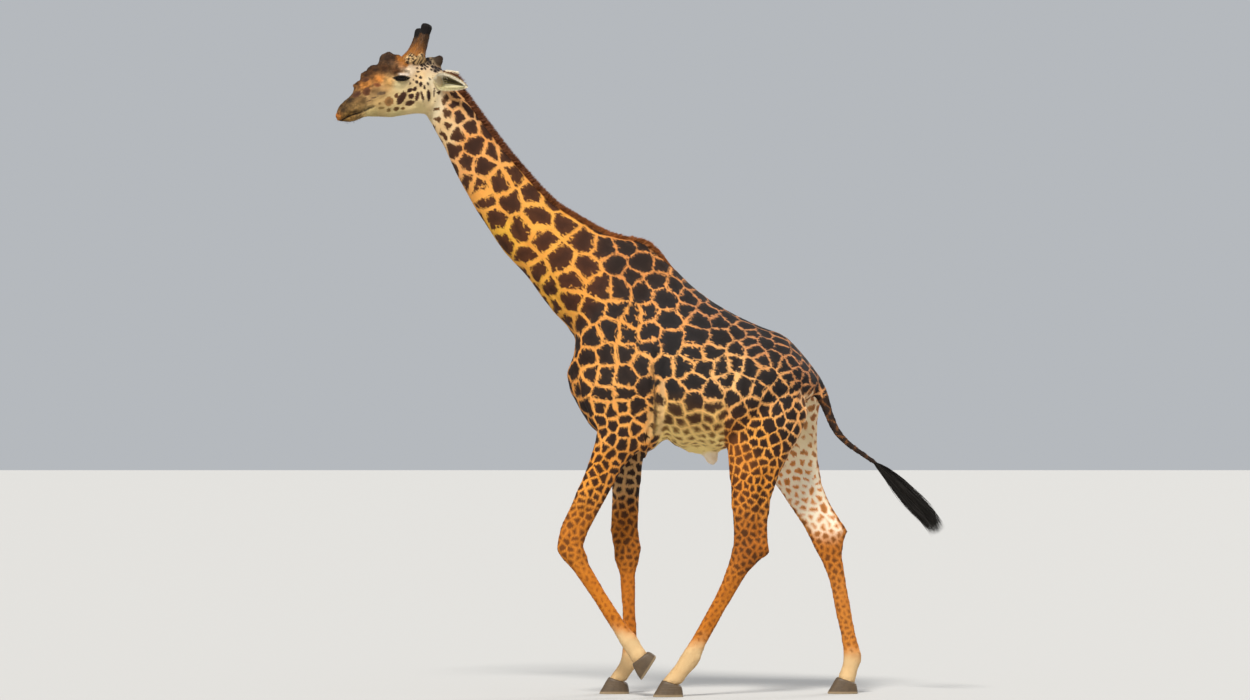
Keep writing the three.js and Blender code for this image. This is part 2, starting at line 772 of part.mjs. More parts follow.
const materials = Object.fromEntries(
  Object.entries(COLOURS).map(([name, look]) => [
    name,
    new THREE.MeshStandardMaterial({ ...look, metalness: 0 }),
  ]),
);

function materialFor(name) {
  const kinds = { mane: "mane", ear: "ear", horn: "horn", hoof: "hoof", eye: "eye", tail_tuft: "tuft" };
  const kind = Object.keys(kinds).find((start) => name.startsWith(start));
  return materials[kinds[kind] ?? "coat"];
}

const giraffe = new THREE.Group();
Object.entries(nodes).forEach(([name, made]) => {
  const mesh = new THREE.Mesh(geometryOf(made), materialFor(name));
  mesh.name = name;
  giraffe.add(mesh);
});

export default giraffe;
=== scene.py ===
import bmesh
import bpy
import math
import numpy as np
from mathutils import Matrix, Vector, kdtree, noise
from mathutils.bvhtree import BVHTree


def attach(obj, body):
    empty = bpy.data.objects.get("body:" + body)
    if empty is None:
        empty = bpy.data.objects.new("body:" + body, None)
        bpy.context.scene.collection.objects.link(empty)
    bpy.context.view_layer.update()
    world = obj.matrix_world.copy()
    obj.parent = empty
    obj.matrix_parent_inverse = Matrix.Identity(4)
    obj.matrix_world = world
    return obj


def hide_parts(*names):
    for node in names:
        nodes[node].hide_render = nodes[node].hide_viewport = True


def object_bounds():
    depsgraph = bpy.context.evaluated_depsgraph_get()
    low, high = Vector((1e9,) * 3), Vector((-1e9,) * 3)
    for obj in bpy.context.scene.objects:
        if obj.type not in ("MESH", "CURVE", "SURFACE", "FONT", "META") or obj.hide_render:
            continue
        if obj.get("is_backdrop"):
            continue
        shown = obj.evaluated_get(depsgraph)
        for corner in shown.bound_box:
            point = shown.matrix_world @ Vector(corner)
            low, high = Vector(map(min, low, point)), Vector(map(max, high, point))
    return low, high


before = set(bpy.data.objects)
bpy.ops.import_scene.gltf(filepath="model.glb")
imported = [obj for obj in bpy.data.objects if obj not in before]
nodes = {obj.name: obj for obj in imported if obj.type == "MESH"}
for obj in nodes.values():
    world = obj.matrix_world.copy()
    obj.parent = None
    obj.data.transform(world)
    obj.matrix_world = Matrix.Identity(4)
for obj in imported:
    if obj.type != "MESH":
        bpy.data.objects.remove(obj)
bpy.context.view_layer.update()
print("frame loaded:", len(nodes), "nodes")

# small helpers shared by the pieces


def meshFrom(name, verts, faces):  # faces: rows with the same number of corners
    faces = np.asarray(faces, np.int32)
    mesh = bpy.data.meshes.new(name)
    mesh.vertices.add(len(verts))
    mesh.vertices.foreach_set("co", np.asarray(verts, np.float32).ravel())
    mesh.loops.add(faces.size)
    mesh.loops.foreach_set("vertex_index", faces.ravel())
    mesh.polygons.add(len(faces))
    mesh.polygons.foreach_set("loop_start", np.arange(0, faces.size, faces.shape[1], dtype=np.int32))
    mesh.update(calc_edges=True)
    mesh.shade_smooth()
    obj = bpy.data.objects.new(name, mesh)
    bpy.context.scene.collection.objects.link(obj)
    return obj


def joinedNodes(name, members):
    verts, faces = [], []
    for member in sorted(members):
        mesh = nodes[member].data
        start = len(verts)
        verts += [tuple(v.co) for v in mesh.vertices]
        faces += [tuple(start + i for i in p.vertices) for p in mesh.polygons]
    return meshFrom(name, verts, faces)


def remesh(obj, grain):
    modifier = obj.modifiers.new("remesh", "REMESH")
    modifier.mode = "VOXEL"
    modifier.voxel_size = grain
    made = bpy.data.meshes.new_from_object(obj.evaluated_get(bpy.context.evaluated_depsgraph_get()))
    obj.modifiers.clear()
    old = obj.data
    obj.data = made
    bpy.data.meshes.remove(old)
    made.name = obj.name
    made.shade_smooth()


def coordsOf(mesh):
    co = np.empty(len(mesh.vertices) * 3, np.float32)
    mesh.vertices.foreach_get("co", co)
    return co.reshape(-1, 3).astype(np.float64)


def moveTo(mesh, co):
    mesh.vertices.foreach_set("co", co.astype(np.float32).ravel())
    mesh.update()


def normalsOf(mesh):
    normals = np.empty(len(mesh.vertices) * 3, np.float32)
    mesh.vertex_normals.foreach_get("vector", normals)
    return normals.reshape(-1, 3).astype(np.float64)


def edgesOf(mesh):
    edges = np.empty(len(mesh.edges) * 2, np.int32)
    mesh.edges.foreach_get("vertices", edges)
    return edges.reshape(-1, 2)


def averaged(values, edges, weight, turns):  # each row drawn towards the mean of its neighbours
    kept = values.reshape(len(values), -1).copy()
    a, b = edges[:, 0], edges[:, 1]
    count = np.maximum(np.bincount(a, minlength=len(kept)) + np.bincount(b, minlength=len(kept)), 1)
    for turn in range(turns):
        for column in range(kept.shape[1]):
            line = kept[:, column]
            total = np.bincount(a, line[b], len(kept)) + np.bincount(b, line[a], len(kept))
            kept[:, column] = line + weight * (total / count - line)
    return kept.reshape(values.shape)


def smoothed(co, edges, weight, turns):  # smooths without shrinking: in, then slightly further out
    for turn in range(turns):
        co = averaged(co, edges, weight, 1)
        co = averaged(co, edges, -1.04 * weight, 1)
    return co


def ramp(value, low, high):  # 0 at low, 1 at high, eased
    t = np.clip((value - low) / (high - low), 0, 1)
    return t * t * (3 - 2 * t)


def unit(vectors):
    return vectors / np.maximum(np.linalg.norm(vectors, axis=-1, keepdims=True), 1e-9)


def toPath(points, path):
    # nearest place on a bent line: distance along it, vector from it, and its direction there
    path = np.asarray(path, float)
    best = np.full(len(points), np.inf)
    along = np.zeros(len(points))
    off = np.zeros_like(points)
    way = np.zeros_like(points)
    start = 0.0
    for a, b in zip(path[:-1], path[1:]):
        length = np.linalg.norm(b - a)
        step = (b - a) / length
        share = np.clip((points - a) @ step, 0, length)
        gap = points - (a + share[:, None] * step)
        distance = np.linalg.norm(gap, axis=1)
        closer = distance < best
        best[closer] = distance[closer]
        along[closer] = start + share[closer]
        off[closer] = gap[closer]
        way[closer] = step
        start += length
    return along, off, way, best


def noiseAt(points, scale, seed=0.0):
    shift = Vector((seed, 2 * seed, -seed))
    return np.array([noise.noise(Vector(p) * scale + shift) for p in points])


def setAttribute(mesh, name, values, domain="POINT"):
    values = np.asarray(values, np.float32)
    kind = "FLOAT" if values.ndim == 1 else "FLOAT_VECTOR"
    layer = mesh.attributes.get(name) or mesh.attributes.new(name, kind, domain)
    layer.data.foreach_set("value" if kind == "FLOAT" else "vector", values.ravel())


def seen(tone):  # a tone from 0 to 255 as it looks to the eye, turned into the share of light given back
    value = np.asarray(tone, float) / 255
    return np.where(value <= 0.04045, value / 12.92, ((value + 0.055) / 1.055) ** 2.4)


def unwrap(obj, places):  # places on the flat map, one for each face corner
    layer = obj.data.uv_layers.new(name="OFBake")
    layer.data.foreach_set("uv", places.astype(np.float32).ravel())


# shader helpers


def newMaterial(name, roughness=0.7, **sockets):
    material = bpy.data.materials.new(name)
    material.use_nodes = True
    shader = material.node_tree.nodes["Principled BSDF"]
    shader.inputs["Roughness"].default_value = roughness
    for socket, value in sockets.items():
        shader.inputs[socket.replace("_", " ")].default_value = value
    return material, material.node_tree, shader


def plug(tree, socket, value):
    if isinstance(value, bpy.types.NodeSocket):
        tree.links.new(value, socket)
    elif isinstance(value, (tuple, list, np.ndarray)) and len(socket.default_value) == 4:
        socket.default_value = (*value[:3], 1)
    else:
        socket.default_value = value


def calc(tree, operation, *values):
    node = tree.nodes.new("ShaderNodeMath")
    node.operation = operation
    for i, value in enumerate(values):
        plug(tree, node.inputs[i], value)
    return node.outputs[0]


def eased(tree, value, low, high):
    node = tree.nodes.new("ShaderNodeMapRange")
    node.interpolation_type = "SMOOTHSTEP"
    plug(tree, node.inputs["Value"], value)
    plug(tree, node.inputs["From Min"], low)
    plug(tree, node.inputs["From Max"], high)
    return node.outputs["Result"]


def blendTones(tree, share, a, b, kind="MIX"):
    node = tree.nodes.new("ShaderNodeMix")
    node.data_type = "RGBA"
    node.blend_type = kind
    plug(tree, node.inputs["Factor"], share)
    plug(tree, node.inputs["A"], a)
    plug(tree, node.inputs["B"], b)
    return node.outputs["Result"]


def tinted(tree, tone, by):
    return blendTones(tree, 1.0, tone, by, "MULTIPLY")


def readAttribute(tree, name, output="Fac"):
    node = tree.nodes.new("ShaderNodeAttribute")
    node.attribute_name = name
    return node.outputs[output]


def noiseNode(tree, place, scale, detail=2.0, rough=0.5):
    node = tree.nodes.new("ShaderNodeTexNoise")
    plug(tree, node.inputs["Vector"], place)
    node.inputs["Scale"].default_value = scale
    node.inputs["Detail"].default_value = detail
    node.inputs["Roughness"].default_value = rough
    return node.outputs["Fac"]


def stretched(tree, place, scale):
    node = tree.nodes.new("ShaderNodeVectorMath")
    node.operation = "MULTIPLY"
    plug(tree, node.inputs[0], place)
    node.inputs[1].default_value = scale
    return node.outputs[0]


def addBump(tree, shader, height, distance, strength=1.0):
    node = tree.nodes.new("ShaderNodeBump")
    plug(tree, node.inputs["Height"], height)
    node.inputs["Distance"].default_value = distance
    node.inputs["Strength"].default_value = strength
    tree.links.new(node.outputs["Normal"], shader.inputs["Normal"])


# camera, floor and light

view = {"lens": 144.0, "distance": 34.0, "height": 1.9, "side": -0.095, "aim": 2.346, "sensor": 36.0}

camera = bpy.data.objects.new("camera", bpy.data.cameras.new("camera"))
bpy.context.scene.collection.objects.link(camera)
camera.data.lens = view["lens"]
camera.data.sensor_width = view["sensor"]
camera.data.clip_end = 200.0
camera.location = (view["side"], -view["distance"], view["height"])
camera.rotation_euler = (math.radians(90), 0, 0)
camera.data.shift_y = (view["aim"] - view["height"]) / view["distance"] * view["lens"] / view["sensor"]
bpy.context.scene.camera = camera
bpy.context.scene.view_settings.view_transform = "Standard"

light = {
    "sky": (0.84, 0.88, 0.93),
    "skyPower": 0.55,
    "key": (-0.26, -0.95, 1.12),  # towards the light
    "keyPower": 3.3,
    "keySpread": 14,
    "keyTone": (1.0, 0.965, 0.91),
    "rim": (0.9, 0.9, 0.7),
    "rimPower": 1.4,
    "rimSpread": 25,
    "rimTone": (1.0, 0.97, 0.94),
    "floorHalf": 80,
    "floorTone": (0.52, 0.515, 0.50),
}


def addSun(name, towards, power, spread, tone):
    lamp = bpy.data.objects.new(name, bpy.data.lights.new(name, "SUN"))
    lamp.data.energy = power
    lamp.data.angle = math.radians(spread)
    lamp.data.color = tone
    lamp.rotation_euler = Vector(towards).to_track_quat("Z", "Y").to_euler()
    bpy.context.scene.collection.objects.link(lamp)


world = bpy.data.worlds.new("studio")
bpy.context.scene.world = world
world.use_nodes = True
world.node_tree.nodes["Background"].inputs["Color"].default_value = (*light["sky"], 1)
world.node_tree.nodes["Background"].inputs["Strength"].default_value = light["skyPower"]
for lamp in ("key", "rim"):
    addSun(lamp + "Light", light[lamp], light[lamp + "Power"], light[lamp + "Spread"], light[lamp + "Tone"])

half = light["floorHalf"]
floor = meshFrom("floor", [(-half, -60, 0), (half, -60, 0), (half, 140, 0), (-half, 140, 0)], [(0, 1, 2, 3)])
floorPaint, tree, shader = newMaterial("floorPaint", roughness=0.9)
shader.inputs["Base Color"].default_value = (*light["floorTone"], 1)
floor.data.materials.append(floorPaint)
floor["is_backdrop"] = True
print("camera, floor and lights set")

# where the body's parts run, from the solids' driving dimensions

poll = Vector((-1.319, 0.0, 4.148))
headTurn = 16.0
headTip = -7.0
headPose = Matrix.Translation(poll) @ Matrix.Rotation(math.radians(headTurn), 4, "Z") @ Matrix.Rotation(
    math.radians(headTip), 4, "X")
headBack = np.array(headPose.inverted())
headOut = np.array(headPose)


def toHead(points):
    return points @ headBack[:3, :3].T + headBack[:3, 3]


def fromHead(points):
    return np.asarray(points, float) @ headOut[:3, :3].T + headOut[:3, 3]


def jointsDown(start, bones, across):  # bones: (length, degrees forward of straight down)
    points = [start]
    for length, swing in bones:
        x, z = points[-1]
        turn = math.radians(swing)
        points.append((x - length * math.sin(turn), z - length * math.cos(turn)))
    return np.array([(x, y, z) for (x, z), y in zip(points, across)])


legJoints = {  # shoulder or hip, elbow or knee, wrist or hock, fetlock, coronet
    "fore_left": jointsDown((-0.129, 2.108), [(0.347, 3.5), (0.825, 23.2), (0.755, -32.4), (0.128, -36)],
                            (-0.212, -0.222, -0.206, -0.195, -0.192)),
    "fore_right": jointsDown((-0.095, 2.108), [(0.296, -1), (0.825, -0.4), (0.755, -2), (0.162, 31)],
                             (0.212, 0.22, 0.2, 0.188, 0.186)),
    "hind_left": jointsDown((0.94, 2.33), [(0.530, 11.1), (0.812, 6), (0.835, 29), (0.217, 35)],
                            (-0.14, -0.222, -0.208, -0.198, -0.196)),
    "hind_right": jointsDown((0.94, 2.33), [(0.516, -3.9), (0.812, -23.6), (0.835, -11), (0.162, 14)],
                             (0.14, 0.222, 0.206, 0.196, 0.194)),
}
spineLine = np.array([  # middle of neck and trunk, from the poll to the root of the tail
    (-1.404, 0, 4.100), (-1.211, 0, 3.837), (-0.773, 0, 3.203), (-0.409, 0, 2.873),
    (-0.205, 0, 2.640), (-0.02, 0, 2.37), (0.207, 0, 2.226), (0.520, 0, 2.127),
    (0.793, 0, 2.094), (1.014, 0, 2.12), (1.221, 0, 2.12),
])
headLine = fromHead([(-0.80, 0, -0.25), (-0.50, 0, -0.07), (-0.20, 0, 0.0), (0.05, 0, -0.02)])
tailLine = np.array([(1.20, 0, 2.06), (1.27, 0, 1.90), (1.36, 0, 1.76), (1.49, 0, 1.65), (1.63, 0, 1.58)])


def rounded(path, turns=3):  # a bent line with its corners cut, time after time
    path = np.asarray(path, float)
    for turn in range(turns):
        before, after = path[:-1], path[1:]
        inner = np.stack([0.75 * before + 0.25 * after, 0.25 * before + 0.75 * after], axis=1)
        path = np.vstack([path[:1], inner.reshape(-1, 3), path[-1:]])
    return path


areas = {"torso": spineLine, "head": headLine, "tail": tailLine, **legJoints}
areas = {name: rounded(line) for name, line in areas.items()}
areaNames = list(areas)


def areaOfNode(name):
    if name == "head" or name == "tail":
        return areaNames.index(name)
    if name.startswith("leg"):
        return areaNames.index("_".join(name.split("_")[1:3]))
    return areaNames.index("torso")


# the skin: one surface over every flesh node

skinStyle = {
    "grain": 0.0152,  # face size on trunk and legs
    "coatDepth": 0.004,
    "trunkTurns": 26,  # smoothing turns
    "legTurns": 7,
    "legsBelow": 1.95,  # height from which legs are smoothed as legs
}

fleshNodes = [n for n in nodes if n.split("_")[0] in ("head", "neck", "trunk", "leg") or n == "tail"]
eyeNodes = ["eye_left", "eye_right"]
flesh = joinedNodes("flesh", fleshNodes)
fleshOwner = np.concatenate([np.full(len(nodes[n].data.polygons), areaOfNode(n)) for n in sorted(fleshNodes)])
fleshTree = BVHTree.FromObject(flesh, bpy.context.evaluated_depsgraph_get())
bpy.data.objects.remove(flesh)

skin = joinedNodes("skin", fleshNodes + eyeNodes)
remesh(skin, skinStyle["grain"])


def areaOf(points):
    return np.array([fleshOwner[fleshTree.find_nearest(Vector(p))[2]] for p in points])


co = coordsOf(skin.data)
edges = edgesOf(skin.data)
area = areaOf(co)
isLeg = averaged((area >= 3).astype(float), edges, 0.5, 6)
isHead = averaged((area == 1).astype(float), edges, 0.5, 3)
isTail = averaged((area == 2).astype(float), edges, 0.5, 6)
fine = np.clip(isLeg * ramp(skinStyle["legsBelow"] - co[:, 2], 0, 0.3) + isHead + isTail, 0, 1)[:, None]
wide = smoothed(co, edges, 0.6, skinStyle["trunkTurns"])
narrow = smoothed(co, edges, 0.6, skinStyle["legTurns"])
co = averaged(wide * (1 - fine) + narrow * fine, edges, 0.4, 2)
moveTo(skin.data, co)
print("skin remeshed:", len(co), "vertices")


def refine(mesh, wanted):  # wanted: true for each vertex of the faces to split
    body = bmesh.new()
    body.from_mesh(mesh)
    body.edges.index_update()
    chosen = set()
    for face in body.faces:
        if all(wanted[v.index] for v in face.verts):
            chosen.update(face.edges)
    inOrder = sorted(chosen, key=lambda edge: edge.index)  # the same order in every run
    bmesh.ops.subdivide_edges(body, edges=inOrder, cuts=1, use_grid_fill=True)
    longOnes = [f for f in body.faces if len(f.verts) > 4]
    bmesh.ops.triangulate(body, faces=longOnes)
    body.to_mesh(mesh)
    body.free()


refine(skin.data, (area == 1))
co = smoothed(coordsOf(skin.data), edgesOf(skin.data), 0.5, 2)
moveTo(skin.data, co)
forward, aside, upward = toHead(co).T
aside = np.abs(aside)
muzzle = (forward < -0.6) & (forward > -0.85)
roundEye = (forward < -0.22) & (forward > -0.43) & (aside > 0.05) & (np.abs(upward - 0.02) < 0.075)
refine(skin.data, (muzzle | roundEye) & (aside < 0.2) & (co[:, 2] > 3.6) & (co[:, 0] < -1.3))
mesh = skin.data
mesh.shade_smooth()
co = coordsOf(mesh)
edges = edgesOf(mesh)
co = smoothed(co, edges, 0.5, 1)
moveTo(mesh, co)
area = areaOf(co)
print("head refined:", len(co), "vertices")

# modelling strokes on the skin: folds, muscles and joints


def legPlace(leg, place, ahead=0.0):  # place: joint number plus a share of the bone below it
    joints = legJoints[leg]
    bone = min(int(place), len(joints) - 2)
    a, b = joints[bone], joints[bone + 1]
    point = a + (b - a) * (place - bone)
    way = unit(b - a)
    return point + ahead * np.array([way[2], 0, -way[0]])


def stroke(co, normals, among, side, path, width, height):
    # raises (or sinks) the skin along a path seen from one side; path points are (x, z)
    path = np.array([(p[0], 0, p[-1]) for p in path])
    facing = ramp(side * normals[:, 1], 0.0, 0.5)
    near = among & (facing > 0)
    near &= (co[:, 0] > path[:, 0].min() - 3 * width) & (co[:, 0] < path[:, 0].max() + 3 * width)
    near &= (co[:, 2] > path[:, 2].min() - 3 * width) & (co[:, 2] < path[:, 2].max() + 3 * width)
    flat = co[near] * (1, 0, 1)
    if len(path) == 1:
        distance = np.linalg.norm(flat - path[0], axis=1)
        fade = 1.0
    else:
        along, _, _, distance = toPath(flat, path)
        length = np.linalg.norm(np.diff(path, axis=0), axis=1).sum()
        fade = ramp(along, -0.3 * width, 1.2 * width) * ramp(length - along, -0.3 * width, 1.2 * width)
    push = height * np.exp(-((distance / width) ** 2)) * fade * facing[near]
    co[near] += normals[near] * push[:, None]


bodyRelief = [  # path of (x, z), width, height; on both sides
    ([(-0.10, 2.86), (-0.20, 2.55), (-0.30, 2.22)], 0.085, 0.012),  # spine of the shoulder blade
    ([(0.07, 2.86), (0.04, 2.60), (0.0, 2.35)], 0.05, -0.011),  # behind the shoulder blade
    ([(-0.12, 2.12)], 0.16, 0.014),  # triceps
    ([(-0.33, 2.30), (-0.30, 2.05), (-0.22, 1.86)], 0.035, -0.009),  # before the upper arm
    ([(0.115, 2.34), (0.085, 2.12), (0.092, 1.92), (0.06, 1.75)], 0.017, -0.022),  # fold behind the elbow
    ([(0.175, 2.28), (0.165, 2.08), (0.15, 1.90)], 0.015, -0.010),
    ([(0.14, 2.34), (0.125, 2.12), (0.12, 1.88)], 0.016, 0.008),
    ([(-1.25, 3.78), (-1.02, 3.42), (-0.78, 3.05), (-0.58, 2.80)], 0.045, -0.013),  # jugular groove
    ([(-1.16, 3.84), (-0.88, 3.40), (-0.58, 3.07), (-0.34, 2.84)], 0.075, 0.011),  # neck bones
    ([(-0.74, 3.24), (-0.46, 3.04), (-0.2, 2.9)], 0.05, -0.008),
    ([(-0.70, 2.80), (-0.60, 2.67), (-0.545, 2.52)], 0.013, -0.010),  # folds at the foot of the neck
    ([(-0.64, 2.80), (-0.535, 2.65), (-0.49, 2.48), (-0.48, 2.32)], 0.014, -0.009),
    ([(-0.575, 2.78), (-0.48, 2.62), (-0.43, 2.44)], 0.014, -0.006),
    ([(0.70, 2.36), (0.64, 2.18), (0.60, 2.02), (0.60, 1.86)], 0.026, -0.017),  # flank fold
    ([(0.76, 2.36), (0.70, 2.16), (0.66, 1.98)], 0.030, 0.010),
    ([(0.55, 2.32), (0.66, 2.42), (0.74, 2.46)], 0.07, -0.014),  # hollow of the flank
    ([(0.80, 2.40)], 0.06, 0.016),  # point of the hip
    ([(0.99, 2.14)], 0.14, 0.012),
    ([(1.13, 2.16), (1.09, 1.92), (0.99, 1.66)], 0.028, -0.012),  # groove down the back of the thigh
    ([(1.02, 2.30), (0.90, 2.02), (0.80, 1.78)], 0.06, -0.006),
    ([(1.17, 2.12)], 0.05, 0.010),  # seat bone
    ([(0.49, 1.60)], 0.045, 0.014),  # sheath
]
ribCount = 7
for rib in range(ribCount):
    start = 0.24 + 0.066 * rib + 0.012 * math.sin(3 * rib)
    bodyRelief.append(([(start, 2.36), (start + 0.05, 2.15), (start + 0.03, 1.95)], 0.019, 0.0028))

legRelief = {  # (place down the leg, distance ahead of the bone) points, width, height
    "fore": [
        ([(1.05, 0.03), (1.35, 0.045), (1.7, 0.03)], 0.05, 0.012),  # muscle at the front of the forearm
        ([(1.1, -0.02), (1.4, -0.01), (1.8, 0.0), (1.95, 0.01)], 0.018, -0.008),
        ([(1.15, -0.10), (1.45, -0.085), (1.8, -0.055)], 0.03, 0.008),
        ([(1.02, -0.19)], 0.05, 0.012),  # point of the elbow
        ([(1.93, 0.05)], 0.04, 0.008),  # wrist
        ([(2.03, 0.045)], 0.032, 0.006),
        ([(1.985, 0.0)], 0.018, -0.006),
        ([(1.97, -0.075)], 0.028, 0.012),
        ([(2.12, -0.018), (2.5, -0.016), (2.88, -0.018)], 0.010, -0.0065),  # tendon behind the cannon bone
        ([(2.97, 0.02)], 0.035, 0.005),
        ([(2.98, -0.05)], 0.026, 0.010),  # ergots
        ([(3.0, -0.012)], 0.014, -0.004),
    ],
    "hind": [
        ([(0.98, 0.10)], 0.06, 0.014),  # stifle
        ([(1.05, 0.05), (1.35, 0.03), (1.7, 0.02)], 0.045, 0.010),
        ([(1.35, -0.055), (1.6, -0.045), (1.82, -0.045), (1.93, -0.05)], 0.022, -0.016),  # by the hock tendon
        ([(1.98, -0.105)], 0.028, 0.010),  # point of the hock
        ([(2.0, 0.0)], 0.03, 0.007),
        ([(2.06, 0.035)], 0.026, 0.005),
        ([(1.93, 0.03)], 0.016, -0.005),
        ([(2.15, -0.018), (2.5, -0.016), (2.88, -0.018)], 0.010, -0.0065),
        ([(2.97, 0.02)], 0.035, 0.005),
        ([(2.98, -0.05)], 0.026, 0.010),
        ([(3.0, -0.012)], 0.014, -0.004),
    ],
}
normals = normalsOf(mesh)
torsoOrLeg = (area == 0) | ((area >= 3) & (co[:, 2] > 1.62))
for path, width, height in bodyRelief:
    for side in (-1, 1):
        stroke(co, normals, torsoOrLeg, side, path, width, height)
for leg in legJoints:
    onLeg = area == areaNames.index(leg)
    for path, width, height in legRelief[leg.split("_")[0]]:
        for side in (-1, 1):
            stroke(co, normals, onLeg, side, [legPlace(leg, *p) for p in path], width, height)

# the underside: fold at the elbow, notch behind it, belly
underside = {"along": [0.0, 0.05, 0.10, 0.15, 0.19, 0.24, 0.30, 0.36, 0.42, 0.50],
             "rise": [0, -0.045, -0.025, 0.015, 0.035, -0.001, -0.014, 0.018, 0.024, 0]}
facingDown = ramp(-normals[:, 2], -0.3, 0.3)
share = torsoOrLeg * facingDown * ramp(1.90 - co[:, 2], 0, 0.12) * ramp(co[:, 2], 1.58, 1.66)
co[:, 2] += share * np.interp(co[:, 0], underside["along"], underside["rise"])

# loose unevenness of hide over muscle
bodyPart = (area != 1) & (area != 2)
waves = np.zeros(len(co))
waves[bodyPart] = noiseAt(co[bodyPart] * (1, 0.7, 1), 5.5, 3.1)
co += normals * (waves * 0.006 * averaged(bodyPart.astype(float), edges, 0.5, 8))[:, None]

# the head: growths, brow, lids, nostrils, mouth and jaw

eyeStyle = {
    "radius": 0.033,
    "at": (-0.329, 0.104, 0.022),
    "halfLength": 0.046,  # of the opening between the lids
    "upperLid": 0.006,  # how far the opening reaches over and under its middle line
    "lowerLid": 0.013,
    "slant": 1.0,  # degrees
    "lid": 0.0070,  # thickness of the lids
}
growths = [  # along the head, to the side, up; radius; height
    ((-0.41, 0, 0.200), 0.070, 0.002), ((-0.33, 0.02, 0.190), 0.040, 0.010),
    ((-0.487, 0, 0.142), 0.022, -0.012), ((-0.520, 0, 0.105), 0.026, 0.009),
    ((-0.56, 0, 0.075), 0.024, 0.006), ((-0.612, 0, 0.02), 0.026, 0.006),
    ((-0.303, 0, 0.178), 0.034, 0.014), ((-0.385, 0, 0.190), 0.027, 0.015),
    ((-0.458, 0, 0.185), 0.020, 0.011),
]
pairedGrowths = [
    ((-0.44, 0.055, 0.13), 0.030, 0.015), ((-0.505, 0.040, 0.07), 0.024, 0.012),
    ((-0.565, 0.034, 0.03), 0.020, 0.010), ((-0.36, 0.075, 0.13), 0.026, 0.012),
    ((-0.41, 0.080, 0.09), 0.022, 0.009), ((-0.042, 0.036, 0.19), 0.028, 0.014),
]
for (x, y, z), radius, height in pairedGrowths:
    growths += [((x, side * y, z), radius, height) for side in (1, -1)]
headRelief = [  # (along, up) on both sides of the head
    ([(-0.775, -0.272), (-0.744, -0.264), (-0.673, -0.226),
      (-0.602, -0.206), (-0.56, -0.186), (-0.51, -0.166)], 0.0065, -0.013),  # mouth
    ([(-0.75, -0.240), (-0.68, -0.200), (-0.61, -0.178)], 0.018, 0.007),  # upper lip
    ([(-0.71, -0.275), (-0.64, -0.24)], 0.022, 0.006),  # lower lip
    ([(-0.56, -0.16), (-0.50, -0.13), (-0.42, -0.10)], 0.016, -0.006),  # cheek below the muzzle
    ([(-0.455, -0.02), (-0.39, -0.05), (-0.30, -0.055)], 0.016, -0.007),  # under the eye
    ([(-0.60, -0.06), (-0.50, -0.045), (-0.42, -0.065)], 0.02, 0.008),  # cheek bone
    ([(-0.40, 0.062), (-0.34, 0.076), (-0.27, 0.066)], 0.016, 0.012),  # brow
    ([(-0.40, 0.092), (-0.33, 0.104)], 0.013, -0.006),
    ([(-0.25, -0.02), (-0.18, -0.02), (-0.10, 0.0)], 0.020, 0.006),  # bony arch
    ([(-0.25, 0.04), (-0.17, 0.05)], 0.03, -0.010),  # temple hollow
    ([(-0.20, -0.09)], 0.07, 0.010),  # chewing muscle
    ([(-0.27, -0.03), (-0.275, -0.10), (-0.24, -0.16)], 0.014, -0.006),
    ([(-0.13, 0.01), (-0.105, -0.07), (-0.12, -0.15)], 0.018, -0.009),  # behind the jaw
    ([(-0.54, -0.20), (-0.42, -0.175), (-0.30, -0.165)], 0.018, 0.005),  # edge of the jaw
]
nostril = {
    "path": [(-0.742, -0.176), (-0.722, -0.148), (-0.696, -0.130)], "width": 0.0080, "depth": 0.014,
    "rimAbove": 0.019, "rimWidth": 0.011, "rimHeight": 0.007,
}
warts = {"height": 0.013, "bump": (-0.40, 0, 0.20), "bumpRadius": 0.075, "onBump": 0.15}  # fewer on the bump

onHead = (area == 1) & (co[:, 0] < -1.2)
inHead = toHead(co)
headNormals = normalsOf(mesh) @ headOut[:3, :3]
shaped = inHead.copy()
for place, radius, height in growths:
    distance = np.linalg.norm(inHead - np.array(place), axis=1)
    shaped += headNormals * (height * np.exp(-((distance / radius) ** 2)) * onHead)[:, None]
for path, width, height in headRelief:
    for side in (-1, 1):
        stroke(shaped, headNormals, onHead, side, path, width, height)
for side in (-1, 1):
    stroke(shaped, headNormals, onHead, side, nostril["path"], nostril["width"], -nostril["depth"])
    rim = [(x, z + nostril["rimAbove"]) for x, z in nostril["path"]]
    stroke(shaped, headNormals, onHead, side, rim, nostril["rimWidth"], nostril["rimHeight"])

wartZone = np.zeros(len(co))
wartZone[onHead] = (ramp(shaped[onHead, 2] - (0.30 * shaped[onHead, 0] + 0.115), 0.0, 0.06)
                    * ramp(-shaped[onHead, 0], 0.24, 0.32))
warty = np.zeros(len(co))
warty[onHead] = noiseAt(shaped[onHead], 24, 1.7) + 0.55 * noiseAt(shaped[onHead], 52, 4.2)
onBump = np.exp(-(np.linalg.norm(inHead - np.array(warts["bump"]), axis=1) / warts["bumpRadius"]) ** 2)
shaped += headNormals * (wartZone * warty * warts["height"] * (1 - (1 - warts["onBump"]) * onBump))[:, None]

